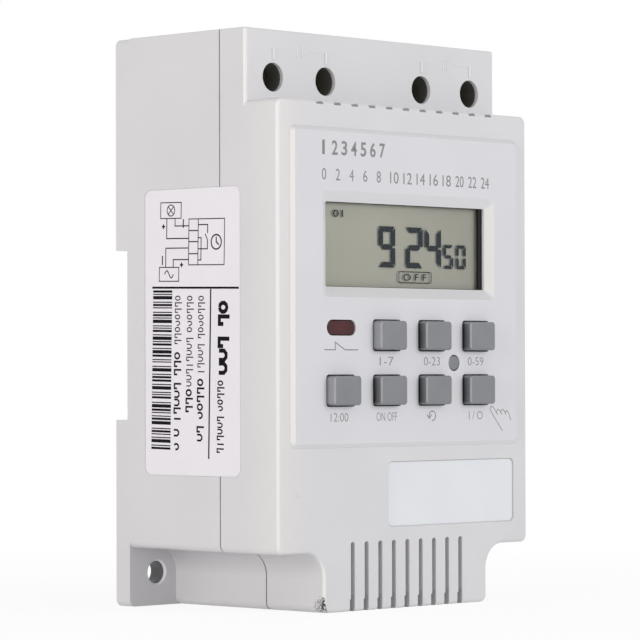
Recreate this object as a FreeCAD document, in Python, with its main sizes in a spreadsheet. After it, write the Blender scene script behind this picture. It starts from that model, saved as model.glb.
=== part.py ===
import FreeCAD, Part
import math
import os
import Sketcher

# Weekly digital timer for a 35 mm rail: a light grey two-shell housing with a stepped top,
# four clamp terminals behind the upper holes, a raised display panel with seven keys, and a
# sprung latch at the back. Lengths are in millimetres.
# The origin lies in the middle of the underside. X runs to the right, the front faces -Y, Z is up.
# Depths are measured forward from the rear plane of the housing.

document = FreeCAD.newDocument("DigitalTimer")
sheet = document.addObject("Spreadsheet::Sheet", "Sizes")


class Size:
    """A length that carries its number and the formula it comes from."""

    def __init__(self, value, text):
        self.value = value
        self.text = text

    def __add__(self, other):
        other = as_size(other)
        return Size(self.value + other.value, "(%s + %s)" % (self.text, other.text))

    def __radd__(self, other):
        return as_size(other) + self

    def __sub__(self, other):
        other = as_size(other)
        return Size(self.value - other.value, "(%s - %s)" % (self.text, other.text))

    def __rsub__(self, other):
        return as_size(other) - self

    def __mul__(self, number):
        return Size(self.value * number, "(%s * %.9g)" % (self.text, number))

    def __rmul__(self, number):
        return self * number

    def __truediv__(self, number):
        return Size(self.value / number, "(%s / %.9g)" % (self.text, number))

    def __neg__(self):
        return Size(-self.value, "(-%s)" % self.text)


def as_size(length):
    return length if isinstance(length, Size) else Size(float(length), "(%.9g)" % length)


# Housing
case_width = 76.8
case_height = 120.0
case_depth = 48.6
block_depth = 39.3
step_drop = 15.0
front_rim = 7.45
seam_gap = 0.34
wall = 2.0
reach = 0.3
past = 0.1
front_wall = 2.2
corner_radius = 1.5
block_corner_radius = 0.4
inner_corner_radius = 0.3
edge_radius = 0.7
rear_edge_radius = 0.4
tongue_length = 1.5
tongue_play = 0.1
notch_width = 13.3
notch_height = 12.4
notch_radius = 5.4

# Screw ears
ear_thickness = 4.45
ear_hole_side = 7.75
ear_hole_height = 7.0
ear_hole_radius = 2.4
ear_hole_bevel = 0.35

# Rail slot, hooks and latch
rail_slot_bottom = 39.4
rail_slot_tall = 35.8
rail_slot_depth = 3.75
hook_drop = 1.3
hook_thickness = 1.9
hook_inner = 14.0
hook_width = 12.0
hook_root = 0.5
latch_width = 16.0
latch_wing = 1.2
latch_back = 0.4
latch_front = 3.7
latch_bottom = 6.0
latch_nose_rise = 2.0
latch_play = 0.25
latch_travel = 3.0
channel_depth = 4.0
channel_floor = 1.8
latch_foot_play = 0.2
wing_bottom = 8.0
wing_top = 34.0
abutment_half = 2.2
abutment_tall = 2.0
spring_window_half = 3.0
pull_slot_half = 3.5
pull_slot_tall = 2.0
pull_slot_rise = 1.8
nose_root = 2.0
nose_bevel = 1.0
spring_radius = 1.3
spring_wire = 0.45
spring_length = 13.0
spring_bottom = 17.0

# Terminals
terminal_pitch = 15.5
terminal_side = 8.1
terminal_drop = 9.9
terminal_hole_radius = 3.0
collar_wall = 0.6
collar_sunk = 0.9
mark_width = 0.4
mark_tall = 2.4
mark_rise = 4.9
mark_proud = 0.3
terminal_screw_radius = 2.0
terminal_head_radius = 2.8
terminal_head_height = 2.5
head_sunk = 4.6
cage_width = 8.8
cage_wall = 1.0
cage_bar = 2.0
cage_tall = 9.2
cage_play = 0.2
cage_radius = 0.8
cage_inner_radius = 0.4
well_foot = 0.9
well_roof = 1.1
seat_thickness = 1.5
shank_play = 0.05
drive_depth = 1.3
drive_width = 0.9
drive_long = 6.2
drive_short = 3.4
screw_bevel = 0.35
bar_width = 6.0
bar_thickness = 1.2
clamp_length = 9.5
bar_drop = 2.8
bar_bend = 0.6
bar_rise = 0.6
bar_tail = 0.8
bar_gap = 0.2
wire_gap = 5.4
wire_hole_radius = 2.6
wire_bridge = 0.2
housing_drop = 17.4
housing_back = 12.0
housing_play = 0.2
housing_radius = 0.5

# Display panel, window and keys
panel_side = 3.5
panel_drop = 5.4
panel_tall = 65.8
panel_thickness = 2.0
panel_proud = 0.8
panel_radius = 1.6
panel_play = 0.1
fit_play = 0.1
ledge_inset = 0.2
window_centre = 0.65
window_width = 49.1
window_drop = 15.15
window_tall = 17.5
window_bevel = 2.15
window_bevel_right = 1.7
window_bevel_depth = 1.4
window_radius = 0.35
window_outer_radius = 1.3
key_width = 8.0
key_tall = 6.05
key_gap = 0.3
key_radius = 0.7
key_edge = 0.4
key_pitch = 13.9
key_drop = 9.95
key_row_pitch = 11.45
key_proud = 2.2
key_flange = 0.9
flange_thickness = 1.0
flange_play = 0.1
reset_radius = 1.55
reset_edge = 0.25
lamp_across = -20.65
lamp_rise = 1.5
lamp_length = 8.5
lamp_tall = 3.1
lamp_sunk = 0.2
lamp_flange = 1.0
lamp_edge = 0.3
led_radius = 1.5
led_rim = 0.4
led_rim_height = 1.0
led_dome = 1.2
led_gap = 0.6

# Display
glass_shift = -0.35
glass_side_margin = 1.2
glass_low_margin = 3.1
glass_high_margin = 3.0
glass_thickness = 0.7
glass_ledge = 2.5
frame_lip = 0.3
frame_wall = 1.8
view_side_inset = 0.85
view_low_inset = 0.1
view_high_inset = 0.1
film_thickness = 0.25
film_inset = 0.3
glass_bevel = 0.15
frame_rise = 1.0
frame_radius = 0.8
view_radius = 0.3
zebra_inset = 0.2
zebra_end = 1.5
zebra_thickness = 2.0

# Boards
board_thickness = 1.6
board_side_play = 1.2
board_drop = 6.2
board_low_margin = 4.2
board_high_margin = 3.6
main_board_back = 8.0
main_board_rise = 3.2
main_board_gap = 1.6
board_radius = 1.0
mat_thickness = 0.8
mat_margin = 5.3
dome_radius = 3.4
small_dome_radius = 2.0
dome_wall = 0.8
dome_foot = 1.4
dome_step = 0.7
lamp_hole_radius = 2.6

# Parts on the display board
blob_radius = 7.0
blob_across = -12.0
blob_rise = 3.0
blob_thickness = 1.6
blob_dome = 1.3
crystal_radius = 1.0
crystal_start = -2.0
crystal_end = 4.0
crystal_rise = 17.0
crystal_edge = 0.3
cell_across = 18.0
cell_drop = 1.0
cell_radius = 5.75
cell_thickness = 5.4
cell_edge = 0.6
cell_gap = 0.9
tab_thickness = 0.3
tab_half = 1.5
tab_start = 1.0
tab_end = 8.0
ribbon_width = 10.0
ribbon_thickness = 0.9
ribbon_top_rise = 8.0
ribbon_low_rise = 5.0
ribbon_turn = 5.0

# Parts on the main board
relay_left = -27.0
relay_right = 5.4
relay_drop = 13.5
relay_length = 27.5
relay_tall = 20.4
relay_radius = 1.0
part_edge = 0.7
capacitor_across = 16.0
capacitor_drop = 26.0
capacitor_radius = 5.0
capacitor_tall = 16.0
rectifier_across = 27.0
rectifier_drop = 37.0
rectifier_radius = 4.5
rectifier_tall = 5.6
transistor_across = 14.0
transistor_drop = 44.8
transistor_radius = 2.3
transistor_tall = 5.0
diode_across = 26.0
diode_drop = 22.5
diode_length = 5.0
diode_radius = 1.35
lead_radius = 0.4
lead_length = 2.0

# Screws and bosses
lower_screw_side = 5.0
case_screw_low_height = 6.5
case_screw_radius = 1.45
case_head_radius = 2.75
case_screw_end = 0.8
head_recess = 2.4
boss_radius = 2.9
upper_boss_radius = 2.3
boss_foot_radius = 4.1
small_screw_radius = 0.95
small_head_radius = 1.9
small_head_height = 1.4
small_boss_radius = 2.5
board_boss_radius = 3.0
head_play = 0.25
clear_hole = 0.15
pilot_play = 0.05
pilot_depth = 5.0
pilot_roof = 0.6
boss_roof = 1.1
case_head_height = 1.8
display_screw_length = 5.4
main_screw_length = 6.0
display_screw_inset = 4.0
main_screw_rise = 5.4
main_screw_drop = 13.0
cross_slot_depth = 0.7
cross_slot_width = 0.6
display_screw_side = 2.0
main_screw_side = 3.2

# Slits, vents and labels
slit_width = 2.0
slit_pitch = 5.2
slit_notch = 0.65
slit_inset = 1.7
slit_bridge = 0.2
vent_width = 1.25
vent_pitch = 4.146
vent_top = 14.35
vent_foot = 2.5
vent_foot_extra = 0.33
vent_run = 12.75
label_thickness = 0.12
label_play = 0.2
label_sunk = 0.03
label_radius = 1.7
side_label_back = 9.3
side_label_rim = 1.6
side_label_bottom = 28.0
side_label_drop = 32.5
front_label_left = -5.8
front_label_radius = 1.2
front_label_side = 4.4
front_label_rise = 2.65
front_label_drop = 3.1
front_label_recess = 0.4

# Each number above gets a cell under its own name, and from here on its name is tied to that cell
numbers = {name: number for name, number in globals().items() if type(number) in (int, float)}
for row, (name, number) in enumerate(numbers.items(), 1):
    sheet.set("A%d" % row, name)
    sheet.set("B%d" % row, "%.9g" % number)
    sheet.setAlias("B%d" % row, name)
    globals()[name] = Size(float(number), "Sizes." + name)
document.recompute()

overall_depth = case_depth + panel_proud + key_proud
half_width = case_width / 2
zero = as_size(0)


def smaller(one, other):
    return Size(min(one.value, other.value), "min(%s; %s)" % (one.text, other.text))


# Levels and depths that follow from the housing
step_height = case_height - step_drop
seam_depth = block_depth - front_rim
rail_slot_top = rail_slot_bottom + rail_slot_tall
terminal_height = case_height - terminal_drop
terminal_outer = half_width - terminal_side
terminal_inner = terminal_outer - terminal_pitch
head_front = block_depth - head_sunk
head_seat_depth = head_front - terminal_head_height
bar_depth = head_seat_depth - clamp_length
housing_bottom = case_height - housing_drop
ear_hole_spacing = case_width - 2 * ear_hole_side
case_screw_upper = (terminal_inner + terminal_outer) / 2
case_screw_lower = half_width - notch_width - lower_screw_side
case_screw_length = block_depth - head_recess - boss_roof - case_screw_end

# The panel hangs from the step, and the window and keys hang from the panel's top
panel_width = case_width - 2 * panel_side
panel_top = step_height - panel_drop
panel_bottom = panel_top - panel_tall
panel_back = case_depth + panel_proud - panel_thickness
window_top = panel_top - window_drop
window_bottom = window_top - window_tall
upper_keys = window_bottom - key_drop
lower_keys = upper_keys - key_row_pitch
reset_across = key_pitch
reset_height = (upper_keys + lower_keys) / 2
lamp_height = upper_keys + lamp_rise
glass_centre = window_centre + glass_shift
glass_width = window_width + 2 * glass_side_margin
glass_bottom = window_bottom - glass_low_margin
glass_top = window_top + glass_high_margin
view_width = window_width - 2 * view_side_inset
view_bottom = window_bottom + view_low_inset
view_top = window_top - view_high_inset

# Boards, and what stands on them
board_width = case_width - 2 * wall - 2 * board_side_play
display_board_front = panel_back - board_drop
display_board_bottom = panel_bottom + board_low_margin
display_board_top = panel_top - board_high_margin
display_board_middle = (display_board_bottom + display_board_top) / 2
display_screw_across = board_width / 2 - display_screw_side
main_board_bottom = notch_height + main_board_rise
main_board_top = housing_bottom - main_board_gap
main_screw_across = board_width / 2 - main_screw_side
mat_bottom = lower_keys - mat_margin
mat_top = upper_keys + mat_margin
mat_half = 1.5 * key_pitch + mat_margin
blob_height = display_board_middle + blob_rise
crystal_height = display_board_middle + crystal_rise
cell_height = display_board_middle - cell_drop
ribbon_top = display_board_bottom + ribbon_top_rise
ribbon_low = main_board_bottom + ribbon_low_rise
relay_top = main_board_top - relay_drop
relay_bottom = relay_top - relay_length
capacitor_height = main_board_top - capacitor_drop
rectifier_height = main_board_top - rectifier_drop
transistor_height = main_board_top - transistor_drop
diode_height = main_board_top - diode_drop

# Labels
front_label_right = half_width - front_label_side
front_label_bottom = vent_top + front_label_rise
front_label_top = panel_bottom - front_label_drop
front_label_curve = smaller(front_label_radius, (front_label_top - front_label_bottom) / 3)
side_label_front = block_depth - side_label_rim
side_label_top = case_height - side_label_drop


# Sketch loops: each node is (across, up, centre of the arc to the next node or None)

def rectangle(left, right, bottom, top, radius=None):
    if radius is None:
        return [(left, bottom, None), (right, bottom, None), (right, top, None), (left, top, None)]
    radius = as_size(radius)
    nodes = [
        (left + radius, bottom, None),
        (right - radius, bottom, (right - radius, bottom + radius, radius)),
        (right, bottom + radius, None),
        (right, top - radius, (right - radius, top - radius, radius)),
        (right - radius, top, None),
        (left + radius, top, (left + radius, top - radius, radius)),
        (left, top - radius, None),
        (left, bottom + radius, (left + radius, bottom + radius, radius)),
    ]
    return [node for k, node in enumerate(nodes) if node[2] or not same_place(node, nodes[(k + 1) % 8])]


def same_place(one, other):
    return math.hypot(one[0].value - other[0].value, one[1].value - other[1].value) < 1e-6


def disc(across, up, radius):
    return ("disc", as_size(across), as_size(up), as_size(radius))


def centred(across, up, width, tall, radius=None):
    return rectangle(across - width / 2, across + width / 2, up - tall / 2, up + tall / 2, radius)


def turned(loop):
    """A loop given with depths, laid on a plane whose own axis runs backwards."""
    if loop[0] == "disc":
        return ("disc", loop[1], -loop[2], loop[3])
    return [(u, -v, (c[0], -c[1], c[2]) if c else None) for u, v, c in loop]


def mirrored(loop):
    if loop[0] == "disc":
        return ("disc", -loop[1], loop[2], loop[3])
    return [(-u, v, (-c[0], c[1], c[2]) if c else None) for u, v, c in loop]


def bind(sketch, number, length):
    sketch.setExpression("Constraints[%d]" % number, length.text)


def draw(sketch, loops):
    """Lines, arcs and circles with every point bound to the sheet."""
    pieces, rules, bound = [], [], []
    for loop in loops:
        first = len(pieces)
        if loop[0] == "disc":
            centre = FreeCAD.Vector(loop[1].value, loop[2].value, 0)
            pieces.append(Part.Circle(centre, FreeCAD.Vector(0, 0, 1), loop[3].value))
            for kind, length in (("DistanceX", loop[1]), ("DistanceY", loop[2])):
                bound.append((len(rules), length))
                rules.append(Sketcher.Constraint(kind, -1, 1, first, 3, length.value))
            bound.append((len(rules), loop[3]))
            rules.append(Sketcher.Constraint("Radius", first, loop[3].value))
            continue
        ends = []
        for k, (u, v, centre) in enumerate(loop):
            start = FreeCAD.Vector(u.value, v.value, 0)
            following = loop[(k + 1) % len(loop)]
            stop = FreeCAD.Vector(following[0].value, following[1].value, 0)
            if centre is None:
                pieces.append(Part.LineSegment(start, stop))
                ends.append((1, 2))
            else:
                middle = FreeCAD.Vector(centre[0].value, centre[1].value, 0)
                leftward = (start - middle).cross(stop - middle).z > 0
                one, two = (start, stop) if leftward else (stop, start)
                from_angle = math.atan2((one - middle).y, (one - middle).x)
                to_angle = math.atan2((two - middle).y, (two - middle).x)
                circle = Part.Circle(middle, FreeCAD.Vector(0, 0, 1), centre[2].value)
                pieces.append(Part.ArcOfCircle(circle, from_angle, to_angle))
                ends.append((1, 2) if leftward else (2, 1))
                bound.append((len(rules), centre[2]))
                rules.append(Sketcher.Constraint("Radius", first + k, centre[2].value))
        for k, (u, v, centre) in enumerate(loop):
            before = (k - 1) % len(loop)
            meeting = (first + before, ends[before][1], first + k, ends[k][0])
            rules.append(Sketcher.Constraint("Coincident", *meeting))
            for kind, length in (("DistanceX", u), ("DistanceY", v)):
                bound.append((len(rules), length))
                rules.append(Sketcher.Constraint(kind, -1, 1, first + k, ends[k][0], length.value))
    sketch.addGeometry(pieces, False)
    sketch.addConstraint(rules)
    for number, length in bound:
        bind(sketch, number, length)


def start_body(label):
    body = document.addObject("PartDesign::Body", label)
    body.Label = label
    body.setExpression("Placement.Base.y", (overall_depth / 2).text)
    return body


def sketch_on(body, plane, start, loops):
    """Planes: front (across, up) at a depth, level (across, depth) at a height, side (depth, up)."""
    role = {"front": "XZ_Plane", "level": "XY_Plane", "side": "YZ_Plane"}[plane]
    sketch = body.newObject("Sketcher::SketchObject", "Profile")
    origin_plane = [item for item in body.Origin.OriginFeatures if item.Role == role][0]
    sketch.AttachmentSupport = [(origin_plane, "")]
    sketch.MapMode = "FlatFace"
    sketch.setExpression(".AttachmentOffset.Base.z", as_size(start).text)
    if plane == "level":
        loops = [turned(loop) for loop in loops]
    if plane == "side":
        loops = [mirrored(loop) for loop in loops]
    draw(sketch, loops)
    return sketch


def grow(body, plane, start, end, loops):
    sketch = sketch_on(body, plane, start, loops)
    pad = body.newObject("PartDesign::Pad", "Grow")
    pad.Profile = sketch
    pad.setExpression("Length", (as_size(end) - start).text)
    return pad


def carve(body, plane, start, end, loops):
    sketch = sketch_on(body, plane, start, loops)
    pocket = body.newObject("PartDesign::Pocket", "Carve")
    pocket.Profile = sketch
    pocket.Reversed = True
    pocket.setExpression("Length", (as_size(end) - start).text)
    return pocket


def edges_of(body, chosen):
    document.recompute()
    return ["Edge%d" % (k + 1) for k, edge in enumerate(body.Tip.Shape.Edges) if chosen(edge.BoundBox)]


def soften(body, radius, chosen, kind="Fillet"):
    """Rounds or bevels the edges that the test picks by their bounding box."""
    names = edges_of(body, chosen)
    if not names:
        raise ValueError("no edge to soften on " + body.Label)
    base = body.Tip
    feature = body.newObject("PartDesign::" + kind, "Soften")
    feature.Base = (base, names)
    feature.setExpression("Radius" if kind == "Fillet" else "Size", as_size(radius).text)
    document.recompute()
    return feature


def at_depth(box, depth):
    return abs(box.YMin + depth.value) < 1e-4 and abs(box.YMax + depth.value) < 1e-4


def as_wide_as(box, width):
    return abs(box.XLength - width.value) < 0.01


def both_sides(*places):
    return [(side * across, up) for side in (-1, 1) for across, up in places]


# The housing seen from the front: ears cut away at the lower corners, the terminal block's corners sharper
# than the lower ones, all set in by the given amount

def case_outline(inset, top):
    inset = as_size(inset)
    radius = corner_radius - inset if corner_radius.value - inset.value > 0.2 else inner_corner_radius
    upper = radius
    if as_size(top).value > step_height.value:
        upper = block_corner_radius if inset.value < 0.1 else inner_corner_radius
    side = half_width - inset
    low = inset
    high = as_size(top) - inset
    inner = half_width - notch_width - inset
    ceiling = notch_height + inset
    curve = notch_radius + inset
    curve_across = half_width - notch_width + notch_radius
    curve_up = notch_height - notch_radius
    half = [
        (inner - radius, low, (inner - radius, low + radius, radius)),
        (inner, low + radius, None),
        (inner, curve_up, (curve_across, curve_up, curve)),
        (curve_across, ceiling, None),
        (side - radius, ceiling, (side - radius, ceiling + radius, radius)),
        (side, ceiling + radius, None),
        (side, high - upper, (side - upper, high - upper, upper)),
        (side - upper, high, None),
    ]
    other = []
    for k in range(len(half) - 1, -1, -1):
        u, v, _ = half[k]
        arc = half[k - 1][2] if k > 0 else None
        other.append((-u, v, (-arc[0], arc[1], arc[2]) if arc else None))
    return half + other


terminals = [-terminal_outer, -terminal_inner, terminal_inner, terminal_outer]
upper_case_screws = both_sides((case_screw_upper, terminal_height))
lower_case_screws = both_sides((case_screw_lower, case_screw_low_height))
case_screw_places = upper_case_screws + lower_case_screws
display_screw_places = both_sides((display_screw_across, display_board_bottom + display_screw_inset),
                                  (display_screw_across, display_board_top - display_screw_inset))
main_screw_places = both_sides((main_screw_across, main_board_bottom + main_screw_rise),
                               (main_screw_across, main_board_top - main_screw_drop))
wire_depth = bar_depth - wire_gap / 2 - wire_bridge
side_label_loop = rectangle(side_label_back, side_label_front, side_label_bottom, side_label_top, label_radius)
label_recess_loop = rectangle(
    side_label_back - panel_play, side_label_front + panel_play,
    side_label_bottom - panel_play, side_label_top + panel_play, label_radius + panel_play)

# Rear shell: moulded with the ears, the rail slot with its two hooks, and the latch channel
rear_end = seam_depth - seam_gap / 2
rear = start_body("rear_shell")
grow(rear, "front", 0, ear_thickness, [rectangle(-half_width, half_width, zero, case_height, corner_radius)])
soften(rear, rear_edge_radius, lambda box: at_depth(box, zero))
grow(rear, "front", ear_thickness, rear_end, [case_outline(0, case_height)])
carve(rear, "front", wall, rear_end, [case_outline(wall, case_height)])
grow(rear, "front", rear_end, seam_depth + tongue_length,
     [case_outline(wall / 2 + tongue_play, case_height), case_outline(wall, case_height)])
slot_floor = rail_slot_depth + wall
grow(rear, "front", wall - reach, slot_floor,
     [rectangle(-half_width + wall / 2, half_width - wall / 2, rail_slot_bottom - wall, rail_slot_top + wall)])
channel_half = latch_width / 2 + latch_play
undercut_half = channel_half + latch_wing
channel_low = latch_bottom - latch_travel - latch_foot_play
grow(rear, "front", wall - reach, channel_depth + wall,
     [rectangle(-undercut_half - wall, undercut_half + wall, channel_low - channel_floor, rail_slot_bottom)])
carve(rear, "front", -past, rail_slot_depth,
      [rectangle(-half_width - 1, half_width + 1, rail_slot_bottom, rail_slot_top)])
carve(rear, "front", -past, channel_depth,
      [rectangle(-channel_half, channel_half, channel_low, rail_slot_bottom + past)])
carve(rear, "front", hook_thickness - latch_play, channel_depth,
      [rectangle(-undercut_half, undercut_half, channel_low, rail_slot_bottom - wall)])
grow(rear, "front", latch_back + reach, channel_depth + reach,
     [rectangle(-abutment_half, abutment_half, spring_bottom - abutment_tall, spring_bottom)])
hook_spans = [(-hook_inner - hook_width, -hook_inner), (hook_inner, hook_inner + hook_width)]
grow(rear, "front", 0, hook_thickness,
     [rectangle(low, high, rail_slot_top - hook_drop, rail_slot_top + hook_root) for low, high in hook_spans])
grow(rear, "front", wall - reach, housing_back, [disc(u, v, boss_foot_radius) for u, v in upper_case_screws])
grow(rear, "front", wall - reach, slot_floor,
     [disc(u, v, boss_foot_radius - past) for u, v in lower_case_screws])
grow(rear, "front", slot_floor - reach, rear_end,
     [disc(u, v, upper_boss_radius) for u, v in upper_case_screws]
     + [disc(u, v, boss_radius) for u, v in lower_case_screws])
carve(rear, "front", -past, head_recess,
      [disc(u, v, case_head_radius + head_play) for u, v in case_screw_places])
carve(rear, "front", head_recess - past, rear_end + past,
      [disc(u, v, case_screw_radius + clear_hole) for u, v in case_screw_places])
grow(rear, "front", wall - reach, main_board_back,
     [disc(u, v, board_boss_radius) for u, v in main_screw_places])
carve(rear, "front", main_board_back - pilot_depth, main_board_back,
      [disc(u, v, small_screw_radius + pilot_play) for u, v in main_screw_places])
carve(rear, "level", case_height - wall - reach, case_height + past,
      [disc(across, wire_depth, wire_hole_radius) for across in terminals])
ear_holes = both_sides((ear_hole_spacing / 2, ear_hole_height))
carve(rear, "front", -past, ear_thickness + past, [disc(u, v, ear_hole_radius) for u, v in ear_holes])
soften(rear, ear_hole_bevel,
       lambda box: at_depth(box, ear_thickness) and as_wide_as(box, 2 * ear_hole_radius), "Chamfer")
carve(rear, "side", -half_width - past, -half_width + label_sunk + label_thickness, [label_recess_loop])

# Front shell: full height behind the step, lower in front of it, with slits, vents and openings
front_start = seam_depth + seam_gap / 2
shell = start_body("front_shell")
grow(shell, "front", front_start, block_depth, [case_outline(0, case_height)])
soften(shell, edge_radius, lambda box: at_depth(box, block_depth))
grow(shell, "front", block_depth - edge_radius - reach, case_depth, [case_outline(0, step_height)])
soften(shell, edge_radius, lambda box: at_depth(box, case_depth))
carve(shell, "front", front_start, block_depth - front_wall, [case_outline(wall, case_height)])
carve(shell, "front", block_depth - front_wall - reach, case_depth - front_wall,
      [case_outline(wall, step_height - front_wall + wall)])
carve(shell, "front", front_start, front_start + tongue_length + past, [case_outline(wall / 2, case_height)])
panel_half = panel_width / 2
carve(shell, "front", panel_back, case_depth + past,
      [rectangle(-panel_half - panel_play, panel_half + panel_play,
                 panel_bottom - panel_play, panel_top + panel_play, panel_radius)])
ledge_side = display_screw_across - small_boss_radius - reach
carve(shell, "front", case_depth - front_wall - past, panel_back + past,
      [rectangle(-ledge_side, ledge_side, display_board_bottom + ledge_inset, display_board_top - ledge_inset)])
carve(shell, "front", block_depth - front_wall - past, block_depth + past,
      [disc(u, terminal_height, terminal_hole_radius) for u in terminals])
collar_front = block_depth - collar_sunk
collar_radius = terminal_hole_radius + collar_wall
carve(shell, "front", block_depth - front_wall - past, collar_front,
      [disc(u, terminal_height, collar_radius + fit_play) for u in terminals])
grow(shell, "front", block_depth - reach, block_depth + mark_proud,
     [centred(u, terminal_height + mark_rise, mark_width, mark_tall) for u in terminals])
slit_places = [slit_pitch * (k - 5) for k in range(11)]
slit_back = block_depth + slit_inset
carve(shell, "level", step_height - front_wall - past, step_height + past,
      [rectangle(u - slit_width / 2, u + slit_width / 2, slit_back, case_depth - front_wall - slit_bridge)
       for u in slit_places])
carve(shell, "level", step_height - slit_notch, step_height + past,
      [rectangle(u - slit_width / 2, u + slit_width / 2, slit_back, case_depth + past) for u in slit_places])
vent_places = [vent_pitch * (k - 4) for k in range(9)]
vent_radius = vent_width / 2


def vent_loop(across):
    shoulder = vent_top - vent_radius
    return [
        (across - vent_radius, vent_foot - past, None),
        (across + vent_radius, vent_foot - past, None),
        (across + vent_radius, shoulder, (across, shoulder, vent_radius)),
        (across, vent_top, (across, shoulder, vent_radius)),
        (across - vent_radius, shoulder, None),
    ]


carve(shell, "front", case_depth - front_wall - past, case_depth + past, [vent_loop(u) for u in vent_places])
carve(shell, "level", -past, vent_foot,
      [rectangle(u - vent_radius - vent_foot_extra, u + vent_radius, case_depth - vent_run, case_depth + past)
       for u in vent_places])
carve(shell, "front", case_depth - front_label_recess, case_depth + past,
      [rectangle(front_label_left, front_label_right, front_label_bottom, front_label_top, front_label_curve)])
grow(shell, "front", front_start, block_depth - front_wall + reach,
     [disc(u, v, upper_boss_radius) for u, v in upper_case_screws])
grow(shell, "front", front_start, case_depth - front_wall + reach,
     [disc(u, v, boss_radius) for u, v in lower_case_screws])
carve(shell, "front", front_start, block_depth - boss_roof,
      [disc(u, v, case_screw_radius + pilot_play) for u, v in case_screw_places])
grow(shell, "front", display_board_front, case_depth - front_wall + reach,
     [disc(u, v, small_boss_radius) for u, v in display_screw_places])
carve(shell, "front", display_board_front, case_depth - front_wall - pilot_roof,
      [disc(u, v, small_screw_radius + pilot_play) for u, v in display_screw_places])
carve(shell, "side", -half_width - past, -half_width + label_sunk + label_thickness, [label_recess_loop])

# Display panel: a raised plate with bevelled edges, the bevelled window and the openings
panel = start_body("display_panel")
panel_front = case_depth + panel_proud
grow(panel, "front", panel_back, panel_front,
     [rectangle(-panel_half, panel_half, panel_bottom, panel_top, panel_radius - panel_play)])
soften(panel, panel_proud, lambda box: at_depth(box, panel_front), "Chamfer")
window_left = window_centre - window_width / 2
window_right = window_centre + window_width / 2
window_loop = rectangle(window_left, window_right, window_bottom, window_top, window_radius)
carve(panel, "front", panel_back - past, panel_front + past, [window_loop])
document.recompute()
outer_window = sketch_on(panel, "front", panel_front, [rectangle(
    window_left - window_bevel, window_right + window_bevel_right,
    window_bottom - window_bevel, window_top + window_bevel, window_outer_radius)])
inner_window = sketch_on(panel, "front", panel_front - window_bevel_depth, [window_loop])
bevel = panel.newObject("PartDesign::SubtractiveLoft", "WindowBevel")
bevel.Profile = outer_window
bevel.Sections = [inner_window]
bevel.Ruled = True
document.recompute()
key_places = {
    "key_clock": (-1.5 * key_pitch, lower_keys),
    "key_timer": (-0.5 * key_pitch, lower_keys),
    "key_recall": (0.5 * key_pitch, lower_keys),
    "key_manual": (1.5 * key_pitch, lower_keys),
    "key_week": (-0.5 * key_pitch, upper_keys),
    "key_hour": (0.5 * key_pitch, upper_keys),
    "key_minute": (1.5 * key_pitch, upper_keys),
}
carve(panel, "front", panel_back - past, panel_front + past,
      [centred(u, v, key_width + 2 * key_gap, key_tall + 2 * key_gap, key_radius) for u, v in key_places.values()]
      + [disc(reset_across, reset_height, reset_radius + 2 * fit_play)]
      + [centred(lamp_across, lamp_height, lamp_length + 2 * fit_play, lamp_tall + 2 * fit_play,
                 lamp_tall / 2 + fit_play)])

# Keys: caps with a flange that keeps them behind the panel
flange_front = panel_back - flange_play
flange_back = flange_front - flange_thickness
for name, (across, up) in key_places.items():
    key = start_body(name)
    grow(key, "front", flange_front - reach, panel_front + key_proud,
         [centred(across, up, key_width, key_tall, key_radius)])
    soften(key, key_edge, lambda box: at_depth(box, panel_front + key_proud))
    grow(key, "front", flange_back, flange_front,
         [centred(across, up, key_width + 2 * key_flange, key_tall + 2 * key_flange, key_radius)])

reset = start_body("reset_button")
grow(reset, "front", flange_front - reach, panel_front, [disc(reset_across, reset_height, reset_radius)])
soften(reset, reset_edge, lambda box: at_depth(box, panel_front))
grow(reset, "front", flange_back, flange_front, [disc(reset_across, reset_height, reset_radius + key_flange)])

# Lamp: a dark red lens held behind the panel, over a small lamp on the board
lens = start_body("lamp_lens")
lens_front = panel_front - lamp_sunk
grow(lens, "front", panel_back - reach, lens_front,
     [centred(lamp_across, lamp_height, lamp_length, lamp_tall, lamp_tall / 2)])
soften(lens, lamp_edge, lambda box: at_depth(box, lens_front))
grow(lens, "front", flange_back, panel_back,
     [centred(lamp_across, lamp_height, lamp_length + 2 * lamp_flange, lamp_tall + 2 * lamp_flange, key_radius)])
lamp = start_body("lamp_led")
lamp_top = flange_back - led_gap
led_rim_top = display_board_front + led_rim_height
grow(lamp, "front", display_board_front, led_rim_top, [disc(lamp_across, lamp_height, led_radius + led_rim)])
grow(lamp, "front", led_rim_top - reach, lamp_top, [disc(lamp_across, lamp_height, led_radius)])
soften(lamp, led_dome, lambda box: at_depth(box, lamp_top))

# Display: two glass plates with a reflecting film, pressed on the board by a black frame and two strips
glass_front = panel_back - frame_lip
glass_left = glass_centre - glass_width / 2
glass_right = glass_centre + glass_width / 2
frame = start_body("lcd_frame")
grow(frame, "front", display_board_front, panel_back,
     [rectangle(glass_left - frame_wall, glass_right + frame_wall,
                glass_bottom - frame_rise, glass_top + frame_rise, frame_radius)])
carve(frame, "front", display_board_front, glass_front,
      [rectangle(glass_left - fit_play, glass_right + fit_play, glass_bottom - fit_play, glass_top + fit_play)])
carve(frame, "front", glass_front - past, panel_back,
      [rectangle(glass_centre - view_width / 2, glass_centre + view_width / 2,
                 view_bottom, view_top, view_radius)])
front_glass = start_body("lcd_front_glass")
grow(front_glass, "front", glass_front - glass_thickness, glass_front,
     [rectangle(glass_left, glass_right, glass_bottom, glass_top)])
soften(front_glass, glass_bevel, lambda box: at_depth(box, glass_front), "Chamfer")
rear_glass = start_body("lcd_rear_glass")
rear_glass_back = glass_front - 2 * glass_thickness
grow(rear_glass, "front", rear_glass_back, glass_front - glass_thickness,
     [rectangle(glass_left, glass_right, glass_bottom + glass_ledge, glass_top - glass_ledge)])
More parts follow.
